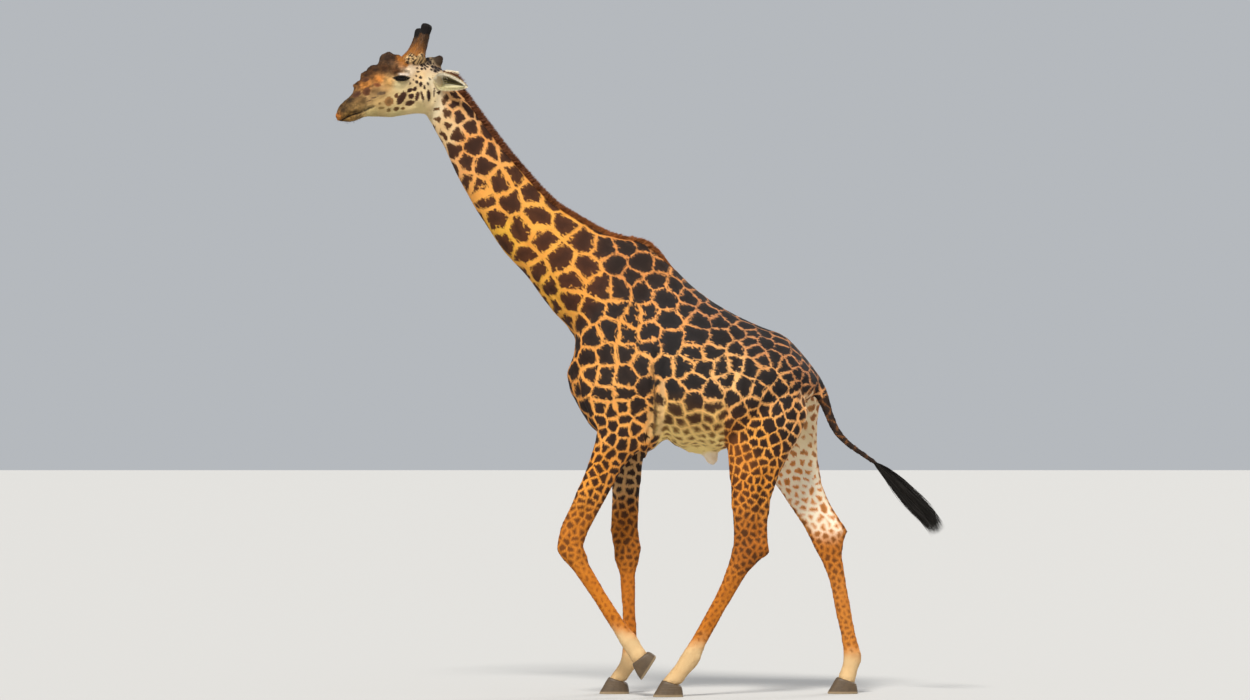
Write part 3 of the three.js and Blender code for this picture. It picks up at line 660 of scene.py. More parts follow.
eyeShare = np.full(len(co), 9.0)  # 1 at the rim of the lids, 0 in the middle of the eye
slant = math.radians(eyeStyle["slant"])
lidTop = eyeStyle["radius"] + eyeStyle["lid"]
corner = eyeStyle["halfLength"]
for side in (-1, 1):
    centre = np.array(eyeStyle["at"]) * (1, side, 1)
    away = shaped - centre
    distance = np.linalg.norm(away, axis=1)
    near = onHead & (distance < 0.085) & (away[:, 1] * side > 0.004)
    across = away[:, 0] * math.cos(slant) + away[:, 2] * math.sin(slant)
    rise = -away[:, 0] * math.sin(slant) + away[:, 2] * math.cos(slant)
    half = np.where(rise > 0, eyeStyle["upperLid"], eyeStyle["lowerLid"])
    bow = np.sqrt(np.clip(1 - (across / corner) ** 2, 0.02, 1))
    share = np.abs(rise) / (half * bow) + 3 * ramp(np.abs(across), 0.9 * corner, 1.3 * corner)
    eyeShare[near] = share[near]
    way = unit(away)
    hold = np.where(share < 1, 1.0, ramp(distance, 0.080, 0.048))
    target = np.where(share < 1, eyeStyle["radius"] - 0.006, np.maximum(distance, lidTop))
    close = near & (np.abs(across) < 0.075)
    shaped[close] = (centre + way * (distance + (target - distance) * hold)[:, None])[close]
co[onHead] = fromHead(shaped)[onHead]
co += 0.8 * wartZone[:, None] * (averaged(co, edges, 0.5, 3) - co)
co = averaged(co, edges, 0.3, 1)
moveTo(mesh, co)

# each leg's end sinks into its hoof
for leg, joints in legJoints.items():
    way = unit(joints[-1] - joints[-2])
    beyond = (co - joints[-1]) @ way
    end = (area == areaNames.index(leg)) & (np.linalg.norm(co - joints[-1], axis=1) < 0.13)
    co += (ramp(beyond, -0.030, 0.0) * end * 0.024)[:, None] * way
co = averaged(co, edges, 0.2, 1)
moveTo(mesh, co)

# the coat stands on the skin, so the skin lies that much lower
normals = normalsOf(mesh)
eyeZone = np.clip(eyeShare, 0, 2) < 2
moveTo(mesh, co - normals * np.where(eyeZone, 0, skinStyle["coatDepth"])[:, None])
co = coordsOf(mesh)
normals = normalsOf(mesh)
print("skin modelled")


# markings: where each patch has its middle, and how wide the pale lines between them are

# place seen from the side (x, z), patch spacing, line width, tone between patches, tone of the patches
bodyMarks = [
    ((-1.22, 4.00), 0.084, 0.016, (232, 172, 108), (62, 36, 24)),
    ((-1.12, 3.74), 0.110, 0.024, (244, 170, 92), (72, 42, 25)),
    ((-0.92, 3.38), 0.146, 0.031, (248, 174, 80), (78, 44, 23)),
    ((-0.68, 3.06), 0.165, 0.034, (250, 176, 74), (84, 46, 23)),
    ((-0.42, 2.82), 0.165, 0.027, (247, 170, 74), (78, 43, 24)),
    ((-1.42, 3.97), 0.072, 0.036, (244, 232, 198), (120, 85, 50)),
    ((-1.34, 3.84), 0.084, 0.030, (244, 210, 156), (84, 52, 30)),
    ((-0.95, 3.10), 0.150, 0.038, (234, 178, 62), (82, 46, 20)),
    ((-0.62, 2.72), 0.120, 0.032, (234, 172, 64), (74, 42, 22)),
    ((-0.05, 2.95), 0.120, 0.014, (224, 148, 80), (50, 36, 28)),
    ((-0.15, 2.50), 0.150, 0.018, (246, 170, 84), (44, 35, 31)),
    ((-0.40, 2.15), 0.118, 0.021, (246, 170, 82), (52, 35, 26)),
    ((-0.22, 2.10), 0.124, 0.019, (246, 174, 92), (46, 34, 27)),
    ((0.22, 2.50), 0.138, 0.014, (242, 166, 92), (40, 35, 34)),
    ((0.25, 2.25), 0.134, 0.016, (246, 180, 104), (38, 33, 31)),
    ((0.45, 2.62), 0.108, 0.010, (212, 144, 92), (42, 36, 34)),
    ((0.85, 2.42), 0.090, 0.010, (210, 144, 94), (43, 37, 35)),
    ((1.10, 2.22), 0.084, 0.010, (210, 142, 92), (42, 36, 34)),
    ((0.60, 2.18), 0.122, 0.016, (246, 186, 116), (40, 33, 30)),
    ((0.92, 2.10), 0.106, 0.012, (244, 178, 108), (40, 34, 32)),
    ((0.84, 1.76), 0.066, 0.014, (246, 170, 76), (54, 33, 22)),
    ((1.05, 1.85), 0.072, 0.012, (242, 176, 106), (46, 34, 29)),
    ((0.84, 1.42), 0.048, 0.013, (234, 152, 56), (76, 45, 20)),
    ((0.66, 1.60), 0.058, 0.012, (238, 155, 62), (122, 70, 28)),
    ((0.70, 1.38), 0.048, 0.012, (234, 148, 54), (102, 58, 24)),
    ((0.77, 1.05), 0.042, 0.012, (200, 116, 34), (104, 60, 20)),
    ((0.50, 0.65), 0.036, 0.014, (212, 128, 34), (168, 96, 26)),
    ((1.15, 1.30), 0.048, 0.018, (240, 170, 80), (144, 86, 32)),
    ((1.30, 1.02), 0.042, 0.014, (216, 132, 44), (140, 80, 26)),
    ((1.42, 0.60), 0.038, 0.015, (218, 138, 52), (162, 98, 38)),
    ((-0.22, 1.86), 0.078, 0.016, (246, 172, 84), (52, 34, 25)),
    ((-0.32, 1.52), 0.056, 0.015, (240, 158, 58), (76, 44, 20)),
    ((-0.45, 1.10), 0.044, 0.013, (218, 134, 38), (140, 80, 24)),
    ((-0.25, 0.68), 0.038, 0.018, (212, 128, 32), (190, 108, 24)),
    ((-0.08, 1.45), 0.060, 0.015, (224, 150, 70), (52, 34, 24)),
    ((-0.08, 1.05), 0.044, 0.013, (212, 128, 38), (110, 64, 22)),
    ((-0.07, 0.65), 0.038, 0.015, (208, 124, 32), (162, 92, 26)),
]

# the head, seen from its own side: (along, up) and tone where it has no patches of its own
headTones = [
    ((-0.79, -0.24), (206, 122, 44)), ((-0.74, -0.29), (104, 78, 35)), ((-0.73, -0.18), (88, 64, 34)),
    ((-0.68, -0.12), (84, 62, 35)), ((-0.69, -0.235), (150, 116, 62)), ((-0.63, -0.18), (144, 114, 68)),
    ((-0.60, -0.12), (110, 82, 46)), ((-0.61, 0.01), (80, 48, 21)), ((-0.57, -0.02), (188, 122, 54)),
    ((-0.55, 0.06), (68, 41, 18)), ((-0.505, 0.10), (60, 36, 17)), ((-0.48, 0.01), (196, 126, 56)),
    ((-0.42, -0.01), (206, 160, 96)), ((-0.44, 0.09), (68, 40, 18)), ((-0.40, 0.17), (52, 33, 20)),
    ((-0.37, 0.07), (84, 50, 22)), ((-0.34, 0.17), (58, 36, 20)), ((-0.31, 0.12), (170, 110, 54)),
    ((-0.28, 0.17), (156, 92, 36)), ((-0.27, 0.08), (236, 216, 186)), ((-0.35, -0.03), (222, 204, 154)),
    ((-0.46, -0.04), (198, 158, 104)), ((-0.50, -0.075), (142, 110, 70)), ((-0.54, -0.11), (188, 150, 98)),
    ((-0.49, -0.12), (208, 172, 112)), ((-0.38, -0.12), (234, 204, 144)), ((-0.26, -0.10), (240, 212, 156)),
    ((-0.17, -0.11), (244, 218, 166)), ((-0.52, -0.21), (192, 172, 116)), ((-0.36, -0.22), (204, 186, 130)),
    ((-0.20, -0.18), (222, 202, 146)), ((-0.20, 0.04), (246, 216, 166)), ((-0.12, 0.02), (248, 232, 196)),
]
plain = {"spacing": 0.050, "lineWidth": 0.090, "patch": (90, 60, 34)}
headMarks = [(place, plain["spacing"], plain["lineWidth"], tone, plain["patch"]) for place, tone in headTones]
headMarks += [  # crown, temple and the hinge of the jaw; numbers as for the body
    ((-0.17, 0.115), 0.026, 0.003, (240, 214, 178), (54, 38, 30)),
    ((-0.20, 0.17), 0.030, 0.013, (206, 138, 76), (96, 60, 36)),
    ((-0.12, 0.155), 0.023, -0.003, (206, 178, 136), (42, 34, 31)),
    ((-0.08, 0.09), 0.022, -0.001, (228, 208, 182), (48, 37, 34)),
    ((-0.05, 0.12), 0.023, -0.004, (172, 140, 104), (40, 31, 29)),
    ((-0.04, 0.20), 0.030, 0.006, (112, 74, 46), (52, 37, 31)),
    ((-0.03, 0.03), 0.050, 0.090, (240, 220, 184), (80, 56, 44)),
    ((-0.02, -0.06), 0.040, 0.024, (238, 222, 182), (66, 46, 32)),
    ((0.04, 0.14), 0.034, 0.008, (118, 74, 44), (54, 36, 28)),
    ((0.02, -0.18), 0.050, 0.032, (238, 228, 192), (100, 76, 50)),
]

# single spots of the head: column and row in a view 1250 by 700, length and width in metres, lean, tone
headSpots = [
    (388.5, 101.5, 0.066, 0.060, 0, (156, 114, 66)), (396, 95.5, 0.034, 0.024, 70, (112, 74, 44)),
    (401.2, 98, 0.094, 0.048, 62, (78, 50, 34)), (411, 96.2, 0.038, 0.034, 0, (72, 46, 32)),
    (409.5, 103.2, 0.064, 0.034, 12, (84, 56, 36)), (417, 96.2, 0.062, 0.026, 82, (84, 56, 38)),
    (422.2, 96.5, 0.074, 0.019, 104, (84, 58, 40)), (428.5, 95.2, 0.074, 0.031, 96, (62, 38, 28)),
    (434, 91.5, 0.060, 0.013, 88, (62, 40, 30)), (409.8, 90.2, 0.040, 0.028, 24, (66, 42, 30)),
    (414.8, 88.8, 0.034, 0.025, 60, (66, 42, 30)), (416.5, 82, 0.027, 0.025, 0, (58, 38, 28)),
    (420.5, 84, 0.040, 0.021, 78, (54, 34, 27)), (424.2, 87.2, 0.030, 0.018, 100, (66, 42, 30)),
    (420.3, 77.5, 0.028, 0.021, 80, (60, 40, 30)), (416, 76, 0.018, 0.014, 80, (66, 44, 32)),
    (427.5, 83.8, 0.030, 0.017, 118, (58, 38, 30)), (410, 83.5, 0.018, 0.014, 40, (84, 64, 46)),
    (418, 71.7, 0.024, 0.013, 8, (58, 40, 31)), (421.5, 68.7, 0.021, 0.018, 0, (54, 38, 30)),
    (416.8, 68, 0.018, 0.015, 60, (58, 40, 31)), (421.2, 64.7, 0.018, 0.014, 60, (54, 38, 30)),
    (425, 65.5, 0.015, 0.014, 0, (54, 38, 30)), (413.5, 65, 0.013, 0.010, 90, (80, 60, 46)),
    (429.5, 79, 0.020, 0.012, 110, (74, 54, 40)), (413.2, 79.6, 0.016, 0.010, 80, (66, 46, 34)),
    (366.5, 91.5, 0.058, 0.052, 60, (104, 64, 38)), (356.5, 94.7, 0.066, 0.036, 34, (92, 58, 36)),
    (377, 85, 0.044, 0.030, -14, (136, 82, 44)), (365.5, 79.5, 0.050, 0.032, 20, (96, 60, 36)),
    (381, 93.3, 0.060, 0.024, 4, (122, 98, 70)), (379.3, 103.6, 0.021, 0.020, 0, (146, 116, 70)),
    (381, 108, 0.042, 0.018, 4, (136, 112, 66)), (388.5, 110.2, 0.031, 0.023, 0, (128, 102, 58)),
    (396, 109, 0.041, 0.027, 6, (112, 82, 46)), (402.7, 108.6, 0.031, 0.018, 6, (118, 88, 50)),
    (374, 97.5, 0.052, 0.010, 14, (112, 88, 62)), (369, 100.8, 0.030, 0.007, 18, (116, 92, 64)),
]

# middles of the larger patches on the left side: column and row in a view 1250 by 700
patchPlaces = [
    (448, 114), (459, 115), (467, 109), (441, 133), (456, 133), (470, 127), (485, 129), (452, 150),
    (476, 145), (491, 151), (505, 154), (465, 164), (484, 166), (500, 181), (514, 174), (478, 188),
    (482, 198), (510, 201), (532, 194), (495, 220), (520, 228), (536, 215), (564, 222), (524, 256),
    (542, 240), (560, 260), (584, 238), (588, 268), (548, 288), (568, 302), (592, 310), (580, 326),
    (590, 338), (624, 245), (642, 262), (616, 264), (632, 277), (641, 291), (662, 266), (658, 278),
    (674, 285), (664, 298), (690, 298), (615, 310), (634, 318), (649, 313), (668, 318), (687, 310),
    (709, 312), (628, 333), (647, 331), (670, 340), (696, 336), (720, 338), (720, 320), (625, 354),
    (648, 348), (641, 364), (660, 368), (684, 366), (693, 353), (712, 353), (738, 349), (704, 366),
    (722, 366), (736, 364), (766, 374),
]


def spreadFrom(keys, columns, places):
    # value at each place, drawn from the keys nearest to it
    spots = np.array([key[0] for key in keys])
    distance = np.linalg.norm(places[:, None, :] - spots[None], axis=2)
    share = 1 / (distance + 0.015) ** 4
    share /= share.sum(axis=1, keepdims=True)
    return [share @ np.array([seen(key[c]) if c > 2 else key[c] for key in keys]) for c in columns]


side = np.array([0] * 3 + [-1 if "left" in leg else 1 for leg in legJoints])[area]
height = co[:, 2]
spacing, lineWidth, groundTone, patchTone = spreadFrom(bodyMarks, (1, 2, 3, 4), co[:, [0, 2]])
inHead = toHead(co)
headValues = spreadFrom(headMarks, (1, 2, 3, 4), inHead[:, [0, 2]])
onHead = averaged((area == 1).astype(float), edges, 0.5, 5)
onLeg = averaged((area >= 3).astype(float), edges, 0.5, 6)


def lay(share, *fresh):  # lays other spacing, line width and tones over the ones so far
    global spacing, lineWidth, groundTone, patchTone
    share = np.clip(share, 0, 1)
    spacing = spacing + share * (fresh[0] - spacing)
    lineWidth = lineWidth + share * (fresh[1] - lineWidth)
    groundTone = groundTone + share[:, None] * (fresh[2] - groundTone)
    patchTone = patchTone + share[:, None] * (fresh[3] - patchTone)


zoneMarks = {  # share; patch spacing, line width, tone between patches, tone of the patches
    "under": (1.0, 0.078, 0.030, (255, 226, 146), (146, 108, 54)),
    "bare": (0.8, 0.060, 0.075, (246, 224, 150), (186, 156, 96)),
    "sheath": (1.0, 0.060, 0.090, (255, 240, 214), (180, 156, 104)),
    "thighInside": (1.0, 0.054, 0.026, (255, 244, 220), (214, 140, 72)),
    "groin": (0.85, 0.066, 0.042, (252, 234, 192), (196, 140, 84)),
    "forearmInside": (0.8, 0.064, 0.022, (206, 172, 122), (58, 42, 33)),
    "rear": (1.0, 0.054, 0.028, (252, 230, 190), (190, 124, 68)),
    "sock": (1.0, 0.04, 0.09, (232, 198, 146), (170, 120, 70)),
    "dust": (0.55, 0.04, 0.09, (190, 156, 110), (170, 120, 70)),
    "tail": (0.95, 0.075, 0.0045, (128, 80, 40), (48, 34, 25)),
    "hornFoot": (1.0, 0.05, 0.09, (172, 108, 44), (70, 48, 34)),
    "poll": (0.9, 0.034, 0.05, (42, 30, 23), (40, 30, 25)),
    # dark lid rims and lashes, deepened by painted shade of the eye socket
    "almond": (1.0, 0.05, 0.09, (24, 18, 14), (24, 18, 14)),
    # a painted highlight on the upper lid
    "upperLid": (0.9, 0.05, 0.09, (246, 234, 222), (232, 212, 184)),
    "lidFold": (0.5, 0.05, 0.09, (150, 134, 96), (150, 134, 96)),
    # painted shade in the nostril slits and the mouth line
    "slitShade": (1.0, 0.05, 0.09, (50, 38, 30), (50, 38, 30)),
}
foldShadeAndHighlights = [  # path of (x, z), width, tone, share: the folds at elbow and flank, a dark line of painted shade in the elbow crease and pale lines of painted highlight on the folds
    ([(0.155, 2.12), (0.145, 1.95), (0.15, 1.82), (0.11, 1.70)], 0.022, (226, 190, 138), 0.65),
    ([(0.085, 1.90), (0.070, 1.82), (0.055, 1.75)], 0.028, (252, 202, 130), 0.85),
    ([(0.090, 2.24), (0.104, 2.04), (0.112, 1.90), (0.100, 1.78)], 0.010, (56, 42, 32), 0.9),
    ([(0.68, 2.26), (0.655, 2.18), (0.615, 2.02), (0.610, 1.88)], 0.008, (250, 200, 130), 0.30),
]
foldSpace = 0.065  # between patches along them
bellyLine = {"along": [0.0, 0.10, 0.22, 0.42, 0.6, 1.0], "up": [1.66, 1.96, 1.92, 1.90, 1.87, 1.86]}
bellyEdge = {"tone": (246, 204, 122), "patch": (120, 82, 40), "lineWidth": 0.019}
sockLevel = {"fore_left": 0.46, "fore_right": 0.31, "hind_left": 0.365, "hind_right": 0.28}


def layZone(name, where):
    share, spaced, line, ground, patch = zoneMarks[name]
    lay(share * where, spaced, line, seen(ground), seen(patch))


roughEdge = 0.05 * noiseAt(co, 6, 5.0) + 0.02 * noiseAt(co, 19, 2.0)
onTorso = (area == 0) | (area >= 5) * (height > 1.5) * (co[:, 0] < 0.575 + 0.3 * roughEdge)
paleLevel = np.interp(co[:, 0], bellyLine["along"], bellyLine["up"])
pale = ramp(paleLevel + 0.17 + roughEdge - height, 0, 0.20) * onTorso * ramp(co[:, 0] - roughEdge, 0.03, 0.12)
lay(0.8 * pale, 0.95 * spacing, bellyEdge["lineWidth"], seen(bellyEdge["tone"]),
    0.6 * patchTone + 0.4 * seen(bellyEdge["patch"]))
under = ramp(paleLevel - 0.03 + roughEdge - height, 0, 0.12) * ramp(co[:, 0] - roughEdge, 0.04, 0.14)
layZone("under", under * onTorso)
layZone("bare", ramp(paleLevel - 0.17 + roughEdge - height, 0, 0.08) * onTorso * ramp(co[:, 0], 0.12, 0.3))
sheath = np.linalg.norm((co - np.array((0.49, 0, 1.575))) * (1, 1, 0.9), axis=1)
layZone("sheath", ramp(0.098 - sheath, 0, 0.03) * onTorso)
outer = ramp(np.abs(normals[:, 1]), 0.3, 0.6) * (np.abs(co[:, 1]) > 0.1) * ((area == 0) | (height > 1.7))
# painted shade in the elbow crease and painted highlights along the folds
for path, width, tone, share in foldShadeAndHighlights:
    distance = toPath(co * (1, 0, 1), rounded([(p[0], 0, p[1]) for p in path], 2))[3]
    lay(share * outer * ramp(1.5 * width - distance, 0, width), spacing, foldSpace, seen(tone), patchTone)

hind = area >= 5
turnedIn = -side * normals[:, 1]
inner = ramp(turnedIn, 0.1, 0.55) * (area >= 3)
facingIn = turnedIn - 0.5 * ramp(1.42 - height, 0, 0.36) + 1.6 * roughEdge
thigh = hind * ramp(2.02 - height, -0.1, 0.1) * ramp(height, 1.0, 1.14)
layZone("thighInside", ramp(facingIn, 0.30, 0.62) * thigh)
layZone("groin", inner * hind * ramp(height, 1.45, 1.75))
layZone("forearmInside", inner * ~hind * ramp(height, 1.25, 1.45))
layZone("rear", ramp(normals[:, 0], 0.3, 0.8) * hind * ramp(height, 1.5, 1.75) * ramp(turnedIn, -0.75, -0.2))
for leg, level in sockLevel.items():
    here = averaged((area == areaNames.index(leg)).astype(float), edges, 0.5, 2)
    layZone("sock", here * ramp(level + 1.3 * roughEdge - height, -0.06, 0.07))
    layZone("dust", here * ramp(level - 0.26 + roughEdge - height, -0.03, 0.05))

softness = averaged(np.clip(pale + (area >= 3) * ramp(1.50 - height, 0, 0.35), 0, 1), edges, 0.5, 4)

layZone("tail", area == 2)
lay(onHead, *headValues)
hornLowest = {"along": [-0.32, -0.257, -0.20, -0.15], "up": [0.085, 0.125, 0.158, 0.170]}


def hornLow(along):  # how far down the horns' own coat reaches on the skull
    return np.interp(along, hornLowest["along"], hornLowest["up"])


streaky = 0.030 * noiseAt(inHead * (1, 1, 0.35), 45, 6.0)
ahead = ramp(-0.175 + 0.6 * streaky - inHead[:, 0], -0.012, 0.022)
over = ramp(inHead[:, 2] - hornLow(inHead[:, 0]) + 0.5 * streaky, -0.012, 0.012)
for hornSide in (-1, 1):
    fromHorn = np.linalg.norm((inHead - np.array((-0.212, hornSide * 0.066, 0.165))) * (0.8, 1, 1), axis=1)
    layZone("hornFoot", ramp(0.124 + streaky - fromHorn, 0, 0.035) * ahead * over * (area == 1))
knob = np.linalg.norm((inHead - np.array((-0.048, 0, 0.180))) * (1, 0.55, 1), axis=1)
layZone("poll", ramp(0.082 - knob, 0, 0.026) * (height > 4.1))

# mottled brow, nose and muzzle
brow = ramp(inHead[:, 2] - 0.32 * inHead[:, 0] - 0.13, -0.06, 0.03)
nose = ramp(-0.50 - inHead[:, 0], 0, 0.08)
mottled = (area == 1) * np.clip(brow + nose, 0, 1) * ramp(-inHead[:, 0], 0.24, 0.30)
mottle = noiseAt(inHead * (1, 1, 1.3), 34, 9.0) + 0.7 * noiseAt(inHead, 85, 2.0)
groundTone = groundTone * np.clip(1 + 0.85 * mottle * mottled, 0.45, 1.6)[:, None]

# eyes: a dark almond of lid rims and lashes deepened with painted shade, a painted highlight on the upper lid
# and a fold behind the lower one
almondHalf = 0.064
for eyeSide in (-1, 1):
    away = inHead - np.array(eyeStyle["at"]) * (1, eyeSide, 1)
    near = (area == 1) & (np.linalg.norm(away, axis=1) < 0.12) & (inHead[:, 1] * eyeSide > 0.05)
    across, rise = away[:, 0] + 0.003, away[:, 2]
    foot = -0.032 * np.clip(1 - (across / almondHalf) ** 2, 0, 1) ** 0.8 + 0.004
    roof = 0.0115 - 0.010 * (np.abs(across) / almondHalf) ** 3
    inAlmond = np.minimum(roof - rise, rise - foot)
    inAlmond = np.where(np.abs(across) < almondHalf, inAlmond, -1)
    # the almond: dark lid rims and lashes, with painted shade of the socket
    layZone("almond", near * ramp(inAlmond, -0.0015, 0.002))
    # a band of painted highlight above the almond, on the upper lid
    lidHighlight = ramp(rise, 0.011, 0.014) * ramp(0.036 - rise, 0, 0.010)
    layZone("upperLid", near * lidHighlight * ramp(across, -0.030, -0.005) * ramp(0.062 - across, 0, 0.02))
    fold = 0.004 - 0.75 * (across - 0.052)
    crease = ramp(0.006 - np.abs(rise - fold + 0.030), 0, 0.004)
    layZone("lidFold", near * crease * ramp(across, 0.0, 0.02) * ramp(0.085 - across, 0, 0.02))
# painted shade in the nostril slits and along the mouth line
for path, width, apart in ((nostril["path"], 0.0065, 0.030), (headRelief[0][0], 0.0040, 0.0)):
    distance = toPath(inHead * (1, 0, 1), [(p[0], 0, p[1]) for p in path])[3]
    sideways = ramp(np.abs(inHead[:, 1]), apart - 0.006, apart + 0.006)
    layZone("slitShade", ramp(1.6 * width - distance, 0, width) * sideways * (area == 1) * (inHead[:, 0] < -0.5))

skinTree = BVHTree.FromObject(skin, bpy.context.evaluated_depsgraph_get())


viewMiddle = (625, 350)  # column and row in a view 1250 by 700
viewReach = 1250 * view["lens"] / view["sensor"]  # in its columns


def onSkin(column, row):  # the point of the skin behind a place in that view
    tilt = (view["aim"] - view["height"]) / view["distance"]
    ray = Vector(((column - viewMiddle[0]) / viewReach, 1, (viewMiddle[1] - row) / viewReach + tilt))
    hit = skinTree.ray_cast(camera.location, ray.normalized())[0]
    return None if hit is None else np.array(hit)


noSpot = -0.05
spotLevel = np.full(len(co), noSpot)
spotTone = np.zeros((len(co), 3))
headOnly = (area == 1) | (inHead[:, 0] < 0.02) & (co[:, 2] > 3.7)
for column, row, length, width, lean, tone in headSpots:
    middle = toHead(onSkin(column, row)[None])[0]
    lean = math.radians(lean)
    away = inHead[:, [0, 2]] - middle[[0, 2]]
    u = (away[:, 0] * math.cos(lean) + away[:, 1] * math.sin(lean)) / (0.5 * length)
    v = (away[:, 1] * math.cos(lean) - away[:, 0] * math.sin(lean)) / (0.5 * width)
    level = (1 - np.hypot(u, v)) * 0.5 * min(width, 0.03)
    level = np.where(headOnly & (np.abs(inHead[:, 1]) > 0.012), level, noSpot)
    better = level > spotLevel
    spotLevel[better] = level[better]
    spotTone[better] = seen(tone)

# patch middles: chosen ones first, then more wherever there is room
middles = [spot for spot in (onSkin(*place) for place in patchPlaces) if spot is not None]
order = np.random.default_rng(11).permutation(len(co))
cell = 0.2
grid = {}


def addMiddle(point, reach):
    key = tuple((point // cell).astype(int))
    grid.setdefault(key, []).append((point, reach))


def roomFor(point, reach):
    kx, ky, kz = (point // cell).astype(int)
    for i in (-1, 0, 1):
        for j in (-1, 0, 1):
            for k in (-1, 0, 1):
                for other, its in grid.get((kx + i, ky + j, kz + k), ()):
                    gap = other - point
                    if gap @ gap < (0.5 * (reach + its)) ** 2:
                        return False
    return True


reachAt = np.clip(spacing, 0.018, 0.19) * 0.86
chosen = [int(np.argmin(((co - m) ** 2).sum(axis=1))) for m in middles]
for m, v in zip(middles, chosen):
    addMiddle(m, reachAt[v] * 1.05)
for v in order:
    if roomFor(co[v], reachAt[v]):
        middles.append(co[v])
        addMiddle(co[v], reachAt[v])
middles = np.array(middles)
middleTree = kdtree.KDTree(len(middles))
for i, m in enumerate(middles):
    middleTree.insert(Vector(m), i)
middleTree.balance()
print("patches:", len(middles))

# each face keeps, at its corners, how much nearer its own patch is than the next two
bend = np.array([noise.noise_vector(Vector(p) * 8.0) for p in co])
bend2 = np.array([noise.noise_vector(Vector(p) * 24.0 + Vector((7, 3, 1))) for p in co])
warped = co + bend * (0.17 * spacing)[:, None] + bend2 * (0.06 * spacing)[:, None]
loopVert = np.empty(len(mesh.loops), np.int32)
mesh.loops.foreach_get("vertex_index", loopVert)
faceStart = np.empty(len(mesh.polygons), np.int32)
mesh.polygons.foreach_get("loop_start", faceStart)
faceSize = np.diff(np.append(faceStart, len(loopVert)))
faceOf = np.repeat(np.arange(len(faceStart)), faceSize)
faceMiddle = np.add.reduceat(warped[loopVert], faceStart) / faceSize[:, None]
nearest = np.array([[hit[1] for hit in middleTree.find_n(Vector(p), 3)] for p in faceMiddle])
squares = [((warped[loopVert] - middles[nearest[faceOf, k]]) ** 2).sum(axis=1) for k in range(3)]
scaleBy = 2 * 1.2 * spacing[loopVert]
rivals = np.stack([(squares[k] - squares[0]) / scaleBy for k in range(3)], axis=1)

# flat map of the skin's own shape: each part unrolled round its own line
sheetScale = 1 / 5.6  # of the map's width to a metre
sheets = {  # corner of the unrolled part on the map, its girth in metres
    "torso": (0.01, 0.01, 2.7), "head": (0.83, 0.01, 1.3), "tail": (0.83, 0.56, 0.2),
    "fore_left": (0.01, 0.55, 0.75), "fore_right": (0.01, 0.70, 0.75),
    "hind_left": (0.42, 0.55, 0.75), "hind_right": (0.42, 0.72, 0.75),
}
faceArea = area[loopVert[faceStart]]
flatMap = np.zeros((len(loopVert), 2))
lie = np.zeros((len(co), 3))
for i, name in enumerate(areaNames):
    loops = np.flatnonzero(faceArea[faceOf] == i)
    if not len(loops):
        continue
    along, off, way, distance = toPath(co[loopVert[loops]], areas[name])
    up = unit(np.cross(way, np.array([0, 1.0, 0])))
    turn = np.arctan2(off[:, 1], (off * up).sum(axis=1))
    faces = faceOf[loops]
    highest = np.full(len(faceStart), -9.0)
    np.maximum.at(highest, faces, turn)
    turn = np.where((highest[faces] - turn) > math.pi, turn + 2 * math.pi, turn)
    left, bottom, girth = sheets[name]
    flatMap[loops, 0] = left + along * sheetScale
    flatMap[loops, 1] = bottom + (turn + math.pi) / (2 * math.pi) * girth * sheetScale
    lie[loopVert[loops]] = way
print("flat map:", flatMap.min(axis=0).round(3), flatMap.max(axis=0).round(3))
unwrap(skin, flatMap)
lie[area == 0] += np.array([0, 0, -0.35]) * ramp(co[area == 0, 0], -0.4, 0.1)[:, None]
lie = averaged(lie, edges, 0.5, 14)
lie = unit(lie - normals * (lie * normals).sum(axis=1, keepdims=True))

# what the coat's material reads, on the skin and again on every tuft
marksAtVerts = {
    "lineWidth": lineWidth, "spacing": spacing, "groundTone": groundTone, "patchTone": patchTone,
    "softness": softness, "spotLevel": spotLevel, "spotTone": spotTone, "root": co,
}
marksAtCorners = {"rivals": rivals, "run": np.column_stack([flatMap / sheetScale, np.zeros(len(flatMap))])}
for key, values in marksAtVerts.items():
    setAttribute(mesh, key, values)
for key, values in marksAtCorners.items():
    setAttribute(mesh, key, values, "CORNER")

# coat colours: one material for skin and tufts


paintStyle = {
    "lineShare": 0.42,  # of the line width that lies on each side of a border
    "ragged": 0.19, "raggedScale": 28,  # the borders' unevenness, as a share of the patch spacing
    "cleftScale": 15, "cleftHalf": 0.0022, "cleftReach": 0.10, "cleftWobble": 0.022,
    "edge": (-0.0022, 0.0028), "blur": 0.0065,
    "heart": 0.26,  # how far in a patch is darkest
    "heartTint": (0.60, 0.60, 0.64), "cloudTint": (0.90, 0.85, 0.79),
    "groundHair": (0.76, 0.70, 0.62), "patchHair": (1.5, 1.35, 1.25), "hairScale": (60, 420, 1),
    "spotRagged": 0.011, "spotEdge": (-0.0022, 0.0018),
    "spotHeart": (0.62, 0.60, 0.62), "spotHair": (1.4, 1.3, 1.2),
}


